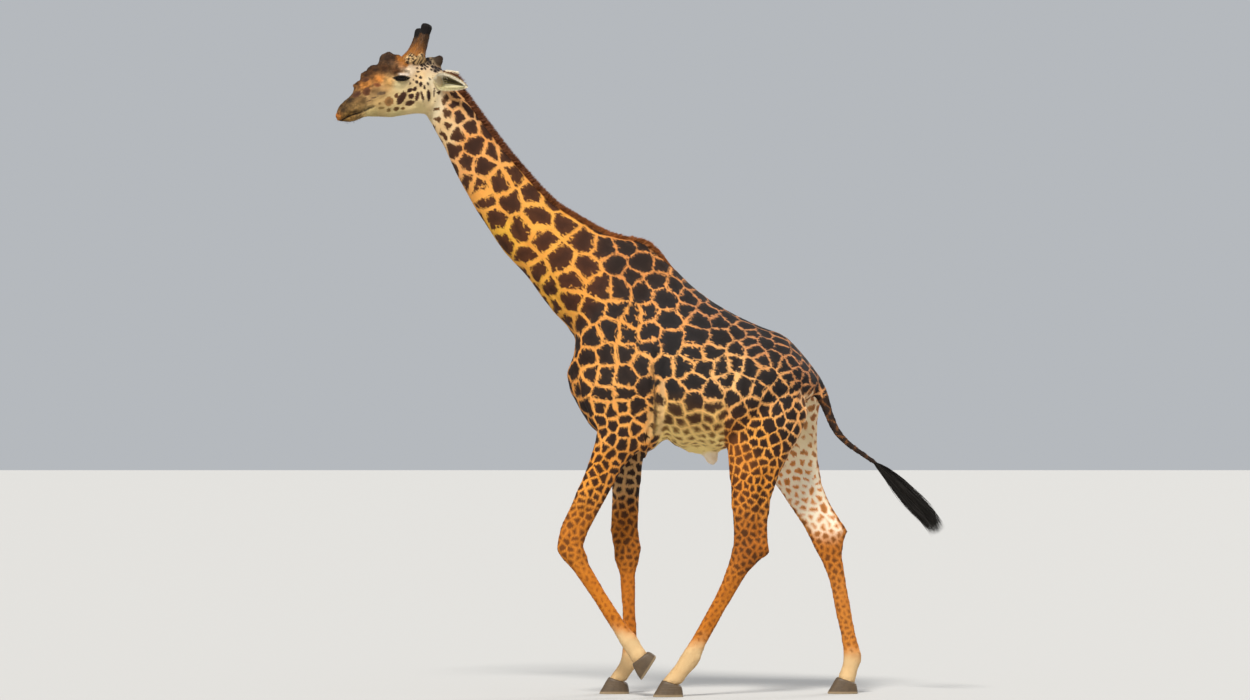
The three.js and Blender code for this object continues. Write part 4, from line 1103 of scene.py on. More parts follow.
def coatMaterial():
    style = paintStyle
    material, tree, shader = newMaterial("coatPaint", roughness=0.78, Specular_IOR_Level=0.25)
    root = readAttribute(tree, "root", "Vector")
    split = tree.nodes.new("ShaderNodeSeparateXYZ")
    tree.links.new(readAttribute(tree, "rivals", "Vector"), split.inputs[0])
    a, b, c = split.outputs
    low = calc(tree, "MINIMUM", calc(tree, "MINIMUM", a, b), c)
    middle = calc(tree, "MAXIMUM", calc(tree, "MINIMUM", a, b),
                  calc(tree, "MINIMUM", calc(tree, "MAXIMUM", a, b), c))
    fromBorder = calc(tree, "SUBTRACT", middle, low)
    spacing = readAttribute(tree, "spacing")
    halfLine = calc(tree, "MULTIPLY", readAttribute(tree, "lineWidth"), style["lineShare"])
    ragged = calc(tree, "SUBTRACT", noiseNode(tree, root, style["raggedScale"], 2, 0.55), 0.5)
    ragged = calc(tree, "MULTIPLY", ragged, calc(tree, "MULTIPLY", spacing, style["ragged"]))
    inside = calc(tree, "ADD", calc(tree, "SUBTRACT", fromBorder, halfLine), ragged)

    # clefts that run into the patches from their border, as in a vine leaf
    leaf = tree.nodes.new("ShaderNodeTexVoronoi")
    leaf.feature = "DISTANCE_TO_EDGE"
    leaf.inputs["Scale"].default_value = style["cleftScale"]
    wobble = tree.nodes.new("ShaderNodeVectorMath")
    wobble.operation = "ADD"
    wave = tree.nodes.new("ShaderNodeTexNoise")
    wave.inputs["Scale"].default_value = 30
    plug(tree, wave.inputs["Vector"], root)
    tree.links.new(root, wobble.inputs[0])
    tree.links.new(stretched(tree, wave.outputs["Color"], (style["cleftWobble"],) * 3), wobble.inputs[1])
    tree.links.new(wobble.outputs[0], leaf.inputs["Vector"])
    fromCleft = calc(tree, "MULTIPLY", leaf.outputs["Distance"], 0.9 / style["cleftScale"])
    cleft = calc(tree, "SUBTRACT", fromCleft, style["cleftHalf"])
    reach = calc(tree, "MULTIPLY", calc(tree, "SUBTRACT", spacing, 0.03), style["cleftReach"])
    cut = calc(tree, "MAXIMUM", cleft, calc(tree, "SUBTRACT", inside, reach))
    inside = calc(tree, "MINIMUM", inside, cut)

    blur = calc(tree, "MULTIPLY", readAttribute(tree, "softness"), style["blur"])
    low, high = style["edge"]
    marked = eased(tree, inside, calc(tree, "SUBTRACT", low, blur), calc(tree, "ADD", high, blur))
    heart = eased(tree, inside, 0.0, calc(tree, "MULTIPLY", spacing, style["heart"]))
    ground = readAttribute(tree, "groundTone", "Vector")
    patch = readAttribute(tree, "patchTone", "Vector")
    spot = readAttribute(tree, "spotTone", "Vector")
    cloud = noiseNode(tree, root, 7, 3)
    hair = noiseNode(tree, stretched(tree, readAttribute(tree, "run", "Vector"), style["hairScale"]), 1.0, 2)
    thinHair = calc(tree, "MULTIPLY", hair, 0.35)
    fullHair = calc(tree, "MULTIPLY", hair, 0.4)
    clouded = eased(tree, cloud, 0.35, 0.75)
    ground = blendTones(tree, clouded, ground, tinted(tree, ground, style["cloudTint"]))
    ground = blendTones(tree, thinHair, ground, tinted(tree, ground, style["groundHair"]))
    patch = blendTones(tree, heart, patch, tinted(tree, patch, style["heartTint"]))
    patch = blendTones(tree, fullHair, patch, tinted(tree, patch, style["patchHair"]))
    whole = blendTones(tree, marked, ground, patch)
    uneven = calc(tree, "SUBTRACT", noiseNode(tree, root, 70, 2, 0.6), 0.5)
    uneven = calc(tree, "MULTIPLY", uneven, style["spotRagged"])
    single = calc(tree, "ADD", readAttribute(tree, "spotLevel"), uneven)
    spot = blendTones(tree, eased(tree, single, 0.001, 0.012), spot, tinted(tree, spot, style["spotHeart"]))
    spot = blendTones(tree, fullHair, spot, tinted(tree, spot, style["spotHair"]))
    whole = blendTones(tree, eased(tree, single, *style["spotEdge"]), whole, spot)
    tree.links.new(whole, shader.inputs["Base Color"])
    addBump(tree, shader, hair, 0.0035, 0.7)
    return material


mesh.materials.append(coatMaterial())
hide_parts(*fleshNodes)
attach(skin, "root")
print("skin painted")


# blades: a tuft of hair is one thin tapering blade


def bladeMesh(roots, ways, ups, lengths, widths, lift=0.10, curl=0.0, steps=2):
    # from each root, along its way; rises from the skin by lift times its length, curls back down
    count = len(roots)
    across = unit(np.cross(ways, ups))
    rows = []
    for k in range(steps + 1):
        share = k / steps
        rise = lift * share - curl * share ** 2
        middle = roots + ways * (lengths * share)[:, None] + ups * (lengths * rise)[:, None]
        if k == steps:
            rows.append(middle[:, None, :])
        else:
            half = across * (0.5 * widths * (0.75 + 0.6 * share * (1 - share) - 0.25 * share))[:, None]
            rows.append(np.stack([middle - half, middle + half], axis=1))
    verts = np.concatenate(rows, axis=1)
    each = verts.shape[1]
    pattern = []
    for k in range(steps - 1):
        a = 2 * k
        pattern += [(a, a + 1, a + 3), (a, a + 3, a + 2)]
    pattern.append((2 * steps - 2, 2 * steps - 1, 2 * steps))
    faces = (np.arange(count)[:, None, None] * each + np.array(pattern)[None]).reshape(-1, 3)
    return verts.reshape(-1, 3), faces, each


def bladeMap(rootMap, each, faces, patch=0.003):  # a small patch of the flat map for each blade
    pairs, tip = divmod(each, 2)  # an odd count of corners ends in a tip
    last = pairs if tip else pairs - 1
    offset = [((k / last - 0.5) * patch, (side - 0.5) * patch) for k in range(pairs) for side in (0, 1)]
    offset += [(0.5 * patch, 0.0)] * tip
    places = (rootMap[:, None, :] + np.array(offset)[None]).reshape(-1, 2)
    return places[faces.ravel()]


def addBlades(name, material, built, rootMap, carried):
    verts, faces, each = built
    obj = meshFrom(name, verts, faces)
    unwrap(obj, bladeMap(rootMap, each, faces))
    for key, values in carried.items():
        setAttribute(obj.data, key, np.repeat(values, each, axis=0))
    obj.data.materials.append(material)
    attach(obj, "root")
    return obj


# short coat: flat overlapping tufts over the whole skin

coatStyle = {
    "tufts": 220000,
    "pieces": 4,
    "bodyLength": 0.018, "bodyWidth": 0.0038,
    "legLength": 0.014, "legWidth": 0.0030,
    "headLength": 0.010, "headWidth": 0.0022,
    "lift": 0.075,
    "swing": 0.16,  # how far tufts stray from the lie of the coat
    "clear": 0.0004,  # of the roots over the skin
}
mesh.calc_loop_triangles()
triangleLoops = np.empty(len(mesh.loop_triangles) * 3, np.int32)
mesh.loop_triangles.foreach_get("loops", triangleLoops)
triangleLoops = triangleLoops.reshape(-1, 3)
triangleVerts = loopVert[triangleLoops]
edgeA = co[triangleVerts[:, 1]] - co[triangleVerts[:, 0]]
edgeB = co[triangleVerts[:, 2]] - co[triangleVerts[:, 0]]
triangleArea = 0.5 * np.linalg.norm(np.cross(edgeA, edgeB), axis=1)
sizeNow = {
    key: (1 - onHead) * ((1 - onLeg) * coatStyle["body" + key] + onLeg * coatStyle["leg" + key])
    + onHead * coatStyle["head" + key] for key in ("Length", "Width")}
sizeNow["Length"] = sizeNow["Length"] * (1 - 0.22 * ramp(-co[:, 0], 0.5, 1.1) * (1 - onHead))
feet = ramp(0.35 - height, 0, 0.2) * onLeg
sizeNow["Length"] = sizeNow["Length"] * (1 - 0.35 * feet)
sizeNow["Width"] = sizeNow["Width"] * (1 - 0.25 * feet)


def scatter(count, density, seed):
    rng = np.random.default_rng(seed)
    share = np.cumsum(triangleArea * density[triangleVerts].mean(axis=1))
    picked = np.searchsorted(share, rng.random(count) * share[-1])
    u, v = rng.random(count), rng.random(count)
    fold = u + v > 1
    u[fold], v[fold] = 1 - u[fold], 1 - v[fold]
    weights = np.stack([1 - u - v, u, v], axis=1)[:, :, None]
    at = {"rng": rng, "verts": triangleVerts[picked], "loops": triangleLoops[picked], "weights": weights}
    at["point"] = mix3(at, co)
    at["normal"] = unit(mix3(at, normals))
    way = mix3(at, lie)
    at["way"] = unit(way - at["normal"] * (way * at["normal"]).sum(axis=1, keepdims=True))
    return at


def mix3(at, values, corners=False):
    rows = values[at["loops"] if corners else at["verts"]]
    rows = rows[:, :, None] if rows.ndim == 2 else rows
    return (rows * at["weights"]).sum(axis=1).squeeze()


coatPaint = mesh.materials[0]
density = ramp(eyeShare, 0.9, 1.2) / (sizeNow["Length"] * sizeNow["Width"])  # none on the eyes
perPiece = coatStyle["tufts"] // coatStyle["pieces"]
for piece in range(coatStyle["pieces"]):
    at = scatter(perPiece, density, 100 + piece)
    rng = at["rng"]
    swing = rng.normal(0, coatStyle["swing"], perPiece)[:, None]
    way = unit(at["way"] + swing * np.cross(at["normal"], at["way"]))
    size = rng.uniform(0.7, 1.25, perPiece)
    built = bladeMesh(at["point"] + at["normal"] * coatStyle["clear"], way, at["normal"],
                      mix3(at, sizeNow["Length"]) * size,
                      mix3(at, sizeNow["Width"]) * rng.uniform(0.8, 1.2, perPiece), lift=coatStyle["lift"])
    carried = {key: mix3(at, values) for key, values in marksAtVerts.items()}
    carried.update({key: mix3(at, values, True) for key, values in marksAtCorners.items()})
    addBlades(f"coatTufts_{piece + 1}", coatPaint, built, mix3(at, flatMap, True), carried)
print("coat tufts:", coatStyle["tufts"])

# hair that is not marked: one material, its tones carried by the tufts


hairTints = {"dark": (0.62, 0.6, 0.58), "pale": (1.35, 1.33, 1.3)}


def hairMaterial():
    material, tree, shader = newMaterial("hairPaint", roughness=0.6, Specular_IOR_Level=0.3)
    tone = readAttribute(tree, "tone", "Vector")
    share = noiseNode(tree, readAttribute(tree, "root", "Vector"), 160, 1)
    dark, pale = (tinted(tree, tone, hairTints[key]) for key in ("dark", "pale"))
    varied = blendTones(tree, share, dark, pale)
    tree.links.new(varied, shader.inputs["Base Color"])
    return material


hairPaint = hairMaterial()


def addHair(name, built, rootMap, roots, tone):
    return addBlades(name, hairPaint, built, rootMap, {"tone": tone, "root": roots})


def mapNear(points):  # place on the flat map of the skin under each point
    places = []
    for point in points:
        face = skinTree.find_nearest(Vector(point))[2]
        places.append(flatMap[faceStart[face]])
    return np.array(places)


# mane: upright bristles along the ridge of the neck

maneStyle = {
    "start": -0.07, "end": 2.25,  # along the neck's middle line, in metres
    "fadeFrom": 0.04, "fadeTo": 0.27,  # over the withers
    "step": 0.0021, "rows": 9, "halfWidth": 0.015,
    "height": 0.054, "bristle": 0.0062, "lean": 0.28,
    "tone": (112, 64, 34), "low": (150, 88, 40),  # on the neck, and towards the withers
}


def alongLine(line, places):
    steps = np.linalg.norm(np.diff(line, axis=0), axis=1)
    marks = np.concatenate([[0], np.cumsum(steps)])
    points = np.stack([np.interp(places, marks, line[:, k]) for k in range(3)], axis=1)
    ahead = np.stack([np.interp(places + 0.02, marks, line[:, k]) for k in range(3)], axis=1)
    return points, unit(ahead - points)


rng = np.random.default_rng(31)
style = maneStyle
places = np.arange(style["start"], style["end"], style["step"])
neckLine = areas["torso"]
points, ways = alongLine(neckLine, np.maximum(places, 0))
points += np.minimum(places, 0)[:, None] * ways
roots, uprights, leans, shares = [], [], [], []
for point, way, place in zip(points, ways, places):
    up = np.array([-way[2], 0, way[0]])
    for row in range(style["rows"]):
        y = style["halfWidth"] * (2 * (row + rng.random()) / style["rows"] - 1)
        start = point + up * 0.7 + np.array([0, y, 0]) + way * rng.uniform(-0.003, 0.003)
        hit = skinTree.ray_cast(Vector(start), Vector(-up))[0]
        if hit and hit.x < style["fadeTo"]:
            roots.append(np.array(hit) - 0.003 * up)
            uprights.append(up)
            leans.append(way)
            shares.append((place, y / style["halfWidth"]))
roots, uprights, leans, shares = (np.array(v) for v in (roots, uprights, leans, shares))
place, across = shares.T
ends = ramp(place, style["start"], style["start"] + 0.06) * (1 + ramp(0.13 - place, 0, 0.10))
thin = 1 - 0.10 * ramp(roots[:, 0], -0.9, -0.4)
thin = thin * (1 - 0.90 * ramp(roots[:, 0], style["fadeFrom"], style["fadeTo"]))
tall = style["height"] * (0.35 + 0.65 * ends) * thin * (1 - 0.35 * across ** 2)
tall = tall * rng.uniform(0.8, 1.12, len(roots))
way = unit(uprights + leans * (style["lean"] + rng.normal(0, 0.12, len(roots)))[:, None]
           + np.array([0, 1, 0]) * (0.22 * across + rng.normal(0, 0.06, len(roots)))[:, None])
flatSide = unit(np.cross(way, unit(rng.normal(size=way.shape))))
built = bladeMesh(roots, way, flatSide, tall, np.full(len(roots), style["bristle"]), lift=0.03, steps=3)
fade = ramp(roots[:, 0], -0.95, -0.1)[:, None]
tone = seen(style["tone"]) * (1 - fade) + seen(style["low"]) * fade
tone = tone * rng.uniform(0.65, 1.3, len(roots))[:, None]
mane = addHair("maneBristles", built, mapNear(roots), roots, tone)
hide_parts("mane")
print("mane bristles:", len(roots))

# tail tuft: long coarse hairs

tuftStyle = {
    "strands": 1500, "steps": 9, "length": 0.60, "strandWidth": 0.0055,
    "line": [(1.585, 0, 1.592), (1.70, 0, 1.50), (1.85, 0, 1.335), (1.98, 0, 1.20), (2.045, 0, 1.095)],
    "spread": [(0.0, 0.022), (0.12, 0.048), (0.35, 0.062), (0.65, 0.058), (1.0, 0.046)],
    "tone": (30, 27, 24),
}


def strandMesh(lines, widths, sides):  # lines: strands x steps x 3; a ribbon along each
    count, steps = lines.shape[:2]
    taper = np.linspace(1, 0, steps) ** 0.6
    half = 0.5 * sides[:, None, :] * (widths[:, None] * taper[None])[:, :, None]
    verts = np.stack([lines - half, lines + half], axis=2).reshape(count, steps * 2, 3)
    pattern = []
    for k in range(steps - 1):
        a = 2 * k
        pattern += [(a, a + 1, a + 3), (a, a + 3, a + 2)]
    faces = (np.arange(count)[:, None, None] * steps * 2 + np.array(pattern)[None]).reshape(-1, 3)
    return verts.reshape(-1, 3), faces, steps * 2


style = tuftStyle
rng = np.random.default_rng(47)
line = rounded(style["line"])
total = np.linalg.norm(np.diff(line, axis=0), axis=1).sum()
count = style["strands"]
angle = rng.uniform(0, 2 * math.pi, count)
out = np.sqrt(rng.random(count))
begin = rng.uniform(0.0, 0.32, count) ** 1.3
finish = np.clip(begin + rng.uniform(0.62, 1.0, count), 0, 1.0) - 0.10 * rng.random(count) * out
grown = np.empty((count, style["steps"], 3))
waveAt = rng.uniform(0, 6.3, count)
for k in range(style["steps"]):
    share = begin + (finish - begin) * k / (style["steps"] - 1)
    points, ways = alongLine(line, np.clip(share, 0, 0.995) * total)
    up = np.stack([-ways[:, 2], 0 * share, ways[:, 0]], axis=1)
    reach = np.interp(share, *zip(*style["spread"])) * (k / (style["steps"] - 1)) ** 0.45
    sway = 0.006 * np.sin(waveAt + 9 * share) * k / style["steps"]
    grown[:, k] = (points + up * (reach * out * np.sin(angle) * 1.25 + sway)[:, None]
                   + np.array([0, 1, 0]) * (0.75 * reach * out * np.cos(angle) - sway)[:, None])
sides = unit(rng.normal(size=(count, 3)))
built = strandMesh(grown, style["strandWidth"] * rng.uniform(0.7, 1.3, count), sides)
tone = seen(style["tone"]) * rng.uniform(0.6, 1.7, count)[:, None]
roots = grown[:, 0]
tuft = addHair("tailTuft", built, mapNear(roots), roots, tone)
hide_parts("tail_tuft")
print("tail tuft:", count, "strands")

# eyes


def ringGrid(rings, closed=True):  # faces between rings of points, rows x columns x 3
    rows, columns = rings.shape[:2]
    faces = []
    for i in range(rows - 1):
        for j in range(columns if closed else columns - 1):
            k = (j + 1) % columns
            faces.append((i * columns + j, i * columns + k, (i + 1) * columns + k, (i + 1) * columns + j))
    return rings.reshape(-1, 3), faces


def simpleMap(obj, centre, spread=0.02):  # a small patch of the flat map for a hard piece
    co = coordsOf(obj.data)
    size = max(np.ptp(co, axis=0).max(), 1e-6)
    verts = np.empty(len(obj.data.loops), np.int32)
    obj.data.loops.foreach_get("vertex_index", verts)
    places = centre + (co[:, [0, 2]] - co.mean(axis=0)[[0, 2]]) / size * spread
    unwrap(obj, places[verts])


eyeTones = {"pupil": (8, 7, 8), "iris": (14, 9, 6), "irisFleck": (32, 20, 12), "white": (24, 19, 16)}


def eyeMaterial():
    material, tree, shader = newMaterial("eyeGlaze", roughness=0.10, Specular_IOR_Level=0.2,
                                         Coat_Weight=0.06, Coat_Roughness=0.05)
    turn = readAttribute(tree, "turnFromMiddle")
    grain = noiseNode(tree, readAttribute(tree, "eyePlace", "Vector"), 260, 3)
    iris = blendTones(tree, grain, seen(eyeTones["iris"]), seen(eyeTones["irisFleck"]))
    iris = blendTones(tree, eased(tree, turn, 0.34, 0.40), seen(eyeTones["pupil"]), iris)
    whole = blendTones(tree, eased(tree, turn, 0.80, 0.92), iris, seen(eyeTones["white"]))
    tree.links.new(whole, shader.inputs["Base Color"])
    return material


eyePaint = eyeMaterial()
for name, side in (("left", -1), ("right", 1)):
    centre = np.array(eyeStyle["at"]) * (1, side, 1)
    outward = unit(np.array([-0.12, side, 0.02]))
    ahead = unit(np.cross(outward, np.array([0, 0, 1.0])))
    up = np.cross(ahead, outward)
    turns = np.linspace(0.001, math.pi, 26)
    rounds = np.linspace(0, 2 * math.pi, 40, endpoint=False)
    bulge = 1 + 0.02 * np.exp(-((turns / 0.62) ** 2))  # the cornea stands proud
    rings = np.array([[centre + eyeStyle["radius"] * b * (
        math.cos(t) * outward + math.sin(t) * (math.cos(r) * ahead + math.sin(r) * up)) for r in rounds]
        for t, b in zip(turns, bulge)])
    verts, faces = ringGrid(rings)
    ball = meshFrom("eyeball_" + name, fromHead(verts), faces)
    flat = np.repeat(turns, len(rounds))
    pupil = flat * (1 + 0.35 * np.abs(np.tile(np.sin(rounds), len(turns))) * (flat < 0.7))  # wider than tall
    setAttribute(ball.data, "turnFromMiddle", pupil)
    setAttribute(ball.data, "eyePlace", verts)
    ball.data.materials.append(eyePaint)
    simpleMap(ball, np.array([0.95, 0.70 + 0.05 * side]))
    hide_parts("eye_" + name)
    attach(ball, "root")

# lashes along the upper lid, and a few below
lashStyle = {"upper": 110, "lower": 40, "length": 0.030, "width": 0.0016, "tone": (26, 20, 17)}
roots, ways, ups, lengths = [], [], [], []
rng = np.random.default_rng(5)
for side in (-1, 1):
    centre = np.array(eyeStyle["at"]) * (1, side, 1)
    for lid, count in ((1, lashStyle["upper"]), (-1, lashStyle["lower"])):
        half = eyeStyle["upperLid"] if lid > 0 else eyeStyle["lowerLid"]
        for across in rng.uniform(-0.95, 0.95, count) * eyeStyle["halfLength"]:
            bow = math.sqrt(max(0.02, 1 - (across / eyeStyle["halfLength"]) ** 2))
            rise = lid * (half * bow * 1.02 + rng.uniform(0, 0.003))
            x = across * math.cos(slant) - rise * math.sin(slant)
            z = across * math.sin(slant) + rise * math.cos(slant)
            square = lidTop ** 2 - x * x - z * z
            depth = math.sqrt(max(1e-6, square)) if square > 0 else 0.006
            roots.append(centre + (x, side * depth, z))
            fall = -0.55 if lid > 0 else -0.9
            ways.append((x * 8 + rng.normal(0, 0.1), side * 1.0, fall + rng.normal(0, 0.12)))
            ups.append((0, 0, 1.0))
            lengths.append(lashStyle["length"] * (1 if lid > 0 else 0.45) * rng.uniform(0.7, 1.1))
roots = fromHead(np.array(roots))
ways = unit(np.array(ways) @ headOut[:3, :3].T)
ups = unit(np.array(ups) @ headOut[:3, :3].T)
built = bladeMesh(roots, ways, ups, np.array(lengths), np.full(len(roots), lashStyle["width"]),
                  lift=-0.25, curl=-0.35, steps=4)
tone = np.repeat([seen(lashStyle["tone"])], len(roots), axis=0)
addHair("lashes", built, mapNear(roots), roots, tone)
print("eyes and lashes built")

# horns: hairy stalks with bald dark tops

hornStyle = {
    "foot": (-0.222, 0.066, 0.100), "tip": (-0.136, 0.092, 0.402),
    "radii": [0.100, 0.086, 0.067, 0.049, 0.041, 0.036, 0.034, 0.037, 0.038, 0.031, 0.016],
    "places": [0, 0.12, 0.26, 0.40, 0.54, 0.66, 0.76, 0.86, 0.93, 0.98, 1.0],
    "rows": 90, "columns": 96,
    "base": (172, 108, 42), "middle": (84, 56, 30), "bald": (24, 19, 17),
    "baldFrom": 0.66,
    "hug": 0.30,  # share of the height that runs out on to the skull
    "hairs": 4200, "hairWidth": 0.0030,
    "networkLine": (232, 192, 134), "networkPatch": (52, 37, 29),
}


def footShare(places):  # where the net of the crown climbs the horn's foot
    low = ramp(0.192 + 0.010 * np.sin(90 * places[:, 0]) - places[:, 2], 0, 0.022)
    return low * ramp(places[:, 0], -0.318, -0.285)


netSeeds = np.random.default_rng(65).uniform((-0.36, -0.22, 0.04), (-0.10, 0.22, 0.26), (2400, 3))


def netShare(places):  # 1 in the patches of the net, 0 on its lines
    share = np.ones(len(places))
    near = np.flatnonzero(footShare(places) > 0)
    apart = np.linalg.norm(places[near, None] - netSeeds[None], axis=2)
    apart = np.partition(apart, 1, axis=1)
    share[near] = ramp(apart[:, 1] - apart[:, 0], 0.0015, 0.0045)
    return share


def hornMaterial():
    material, tree, shader = newMaterial("hornPaint", roughness=0.70, Specular_IOR_Level=0.15)
    level = readAttribute(tree, "level")
    place = readAttribute(tree, "place", "Vector")
    cloud = noiseNode(tree, place, 30, 4)
    uneven = calc(tree, "ADD", level, calc(tree, "MULTIPLY", calc(tree, "SUBTRACT", cloud, 0.5), 0.22))
    base, middle, bald, netLine, netPatch = (
        seen(hornStyle[key]) for key in ("base", "middle", "bald", "networkLine", "networkPatch"))
    low = blendTones(tree, eased(tree, uneven, 0.22, 0.62), base, middle)
    net = blendTones(tree, readAttribute(tree, "netPatch"), netLine, netPatch)
    low = blendTones(tree, readAttribute(tree, "onFoot"), low, net)
    baldShare = eased(tree, uneven, hornStyle["baldFrom"] - 0.08, hornStyle["baldFrom"] + 0.06)
    whole = blendTones(tree, baldShare, low, bald)
    streak = noiseNode(tree, stretched(tree, place, (240, 240, 26)), 1.0, 3)
    thin = calc(tree, "MULTIPLY", streak, 0.5)
    whole = blendTones(tree, thin, whole, tinted(tree, whole, (0.5, 0.48, 0.46)))
    tree.links.new(whole, shader.inputs["Base Color"])
    addBump(tree, shader, streak, 0.004, 0.8)
    return material


style = hornStyle
hornPaint = hornMaterial()
hornRoots, hornWays, hornUps, hornLevels = [], [], [], []
for name, side in (("left", -1), ("right", 1)):
    foot = np.array(style["foot"]) * (1, side, 1)
    tip = np.array(style["tip"]) * (1, side, 1)
    axis = unit(tip - foot)
    ahead = unit(np.cross([0, 1.0, 0], axis))
    across = np.cross(axis, ahead)
    rounds = np.linspace(0, 2 * math.pi, style["columns"], endpoint=False)
    levels = np.linspace(0, 1, style["rows"]) ** 0.9
    levels = np.append(levels, 1.0)
    rings = []
    for i, level in enumerate(levels):
        radius = np.interp(level, style["places"], style["radii"])
        radius = 0.0008 if i == len(levels) - 1 else radius
        knob = 1 + 0.035 * np.sin(3 * rounds + 2.2 * side + 5 * level)
        knob = knob + 0.025 * np.sin(7 * rounds - 9 * level)
        bend = ahead * (0.012 * math.sin(math.pi * level) - 0.040 * (1 - level) ** 1.4)
        spokes = np.cos(rounds)[:, None] * ahead + np.sin(rounds)[:, None] * across
        middle = foot + axis * level * np.linalg.norm(tip - foot) + bend
        rings.append(middle + (radius * knob)[:, None] * spokes)
    rings = np.array(rings)
    verts, faces = ringGrid(rings)
    verts = averaged(verts, np.array([(f[0], f[1]) for f in faces] + [(f[0], f[3]) for f in faces]), 0.5, 2)
    placed = fromHead(verts)
    level = np.repeat(levels, style["columns"])
    sunk = np.zeros(len(placed), bool)
    for v in np.flatnonzero(level < 0.45):  # the foot spreads on to the skull
        spot, face, _, _ = skinTree.find_nearest(Vector(placed[v]))
        draw = ramp(style["hug"] - level[v], 0, style["hug"])
        placed[v] += draw * (np.array(spot) - 0.003 * np.array(face) - placed[v])
        here = toHead(placed[v][None])[0]
        low = ramp(hornLow(here[0]) - here[2], -0.012, 0.010)
        spot, face, _, _ = skinTree.find_nearest(Vector(placed[v]))
        placed[v] += low * (np.array(spot) - 0.013 * np.array(face) - placed[v])
        sunk[v] = (placed[v] - np.array(spot)) @ np.array(face) < -0.005
    top = placed[-style["columns"]:].mean(axis=0)
    last = len(placed) - style["columns"]
    faces += [(last + k, last + k + 1, last + (k + 2) % style["columns"], len(placed))
              for k in range(0, style["columns"], 2)]
    placed, verts = np.vstack([placed, top]), np.vstack([verts, toHead(top[None])])
    # the dark reaches lower in front
    lower = 0.10 * np.tile(np.cos(rounds), len(levels)) * ramp(level, 0.2, 0.5)
    level = np.append(level + lower, 1.0)
    horn = meshFrom("hornStalk_" + name, placed, faces)
    setAttribute(horn.data, "level", level)
    setAttribute(horn.data, "place", verts)
    setAttribute(horn.data, "onFoot", footShare(toHead(placed)))
    setAttribute(horn.data, "netPatch", netShare(toHead(placed)))
    horn.data.materials.append(hornPaint)
    simpleMap(horn, np.array([0.95, 0.85 + 0.05 * side]), 0.04)
    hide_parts("horn_" + name)
    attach(horn, "root")
    rng = np.random.default_rng(61 + side)
    for tuftNo in range(style["hairs"]):
        row = int(rng.random() ** 0.9 * (style["baldFrom"] + 0.03) * style["rows"])
        column = rng.integers(style["columns"])
        first = row * style["columns"]
        corners = [first + column, first + (column + 1) % style["columns"], first + style["columns"] + column]
        a, b, c = placed[corners]
        u, v = rng.random(2)
        if sunk[corners[0]]:
            continue
        hornRoots.append(a + u * (b - a) + v * (c - a))
        hornWays.append(unit(unit(c - a) + rng.normal(0, 0.14, 3)))
        hornUps.append(unit(np.cross(b - a, c - a)))
        hornLevels.append(level[corners[0]])
hornLevels = np.array(hornLevels)
rng = np.random.default_rng(67)
roots = np.array(hornRoots)
mixUp = ramp(hornLevels + rng.normal(0, 0.05, len(roots)), 0.15, 0.62)[:, None]
tone = seen(style["base"]) * (1 - mixUp) + seen(style["middle"]) * mixUp
tone = tone * rng.uniform(0.42, 1.35, len(roots))[:, None]
network = netShare(toHead(roots))[:, None]
network = seen(style["networkLine"]) * (1 - network) + seen(style["networkPatch"]) * network
onFoot = footShare(toHead(roots))[:, None]
tone = tone * (1 - onFoot) + network * rng.uniform(0.8, 1.15, len(roots))[:, None] * onFoot
built = bladeMesh(roots, np.array(hornWays), np.array(hornUps),
                  rng.uniform(0.012, 0.022, len(roots)) * (1 - 0.55 * onFoot[:, 0]),
                  np.full(len(roots), style["hairWidth"]))
addHair("hornHair", built, mapNear(roots), roots, tone)
print("horns built")

# ears: a cupped leaf on each side, furred outside, with long pale hair along the inner rim

earStyle = {
    "left": {"root": (-0.098, -0.078, 0.028), "tip": (0.088, -0.252, -0.056), "open": (0.08, -0.84, -0.42)},
    "right": {"root": (-0.098, 0.078, 0.020), "tip": (0.142, 0.190, 0.122), "open": (-0.3, 0.8, -0.2)},
    "shares": [0, 0.08, 0.18, 0.30, 0.46, 0.64, 0.80, 0.92, 1.0],
    "halfWidths": [0.026, 0.038, 0.054, 0.063, 0.060, 0.047, 0.030, 0.015, 0.003],
    "wrap": [2.7, 2.5, 2.0, 1.55, 1.22, 1.05, 0.95, 0.85, 0.8],  # half angle of the cup
    "rows": 36, "columns": 25, "thick": 0.005,
    # the inner rim is painted lit on its upper half and in painted shade on its lower half
    "outside": (248, 236, 208), "rootTone": (226, 206, 168), "inside": (96, 88, 56), "rim": (250, 242, 220),
    # the bottom of the hollow is painted in shade
    "shadedRim": (230, 221, 176), "hollowShade": (48, 40, 30),
    "furOutside": 2600, "hairsInside": 1500, "hairWidth": 0.0024,
}


def earMaterial():
    material, tree, shader = newMaterial("earPaint", roughness=0.8, Specular_IOR_Level=0.2)
    place = readAttribute(tree, "place", "Vector")
    inner = readAttribute(tree, "inner")
    cloud = noiseNode(tree, place, 40, 3)
    fromRim = calc(tree, "ADD", readAttribute(tree, "fromRim"),
                   calc(tree, "MULTIPLY", calc(tree, "SUBTRACT", cloud, 0.5), 0.3))
    towardsTip = readAttribute(tree, "towardsTip")
    back = blendTones(tree, towardsTip, seen(earStyle["rootTone"]), seen(earStyle["outside"]))
    # the rim: painted light on its upper half, painted shade on its lower half
    rim = blendTones(tree, readAttribute(tree, "shadedHalf"), seen(earStyle["rim"]), seen(earStyle["shadedRim"]))
    hollow = blendTones(tree, eased(tree, fromRim, 0.05, 0.40), rim, seen(earStyle["inside"]))
    # painted shade in the bottom of the hollow
    hollow = blendTones(tree, eased(tree, fromRim, 0.55, 1.0), hollow, seen(earStyle["hollowShade"]))
    whole = blendTones(tree, inner, back, hollow)
    hair = noiseNode(tree, stretched(tree, place, (50, 420, 420)), 1.0, 2)
    whole = blendTones(tree, calc(tree, "MULTIPLY", hair, 0.35), whole, tinted(tree, whole, (0.6, 0.56, 0.5)))
    tree.links.new(whole, shader.inputs["Base Color"])
    addBump(tree, shader, hair, 0.003, 0.6)
    return material


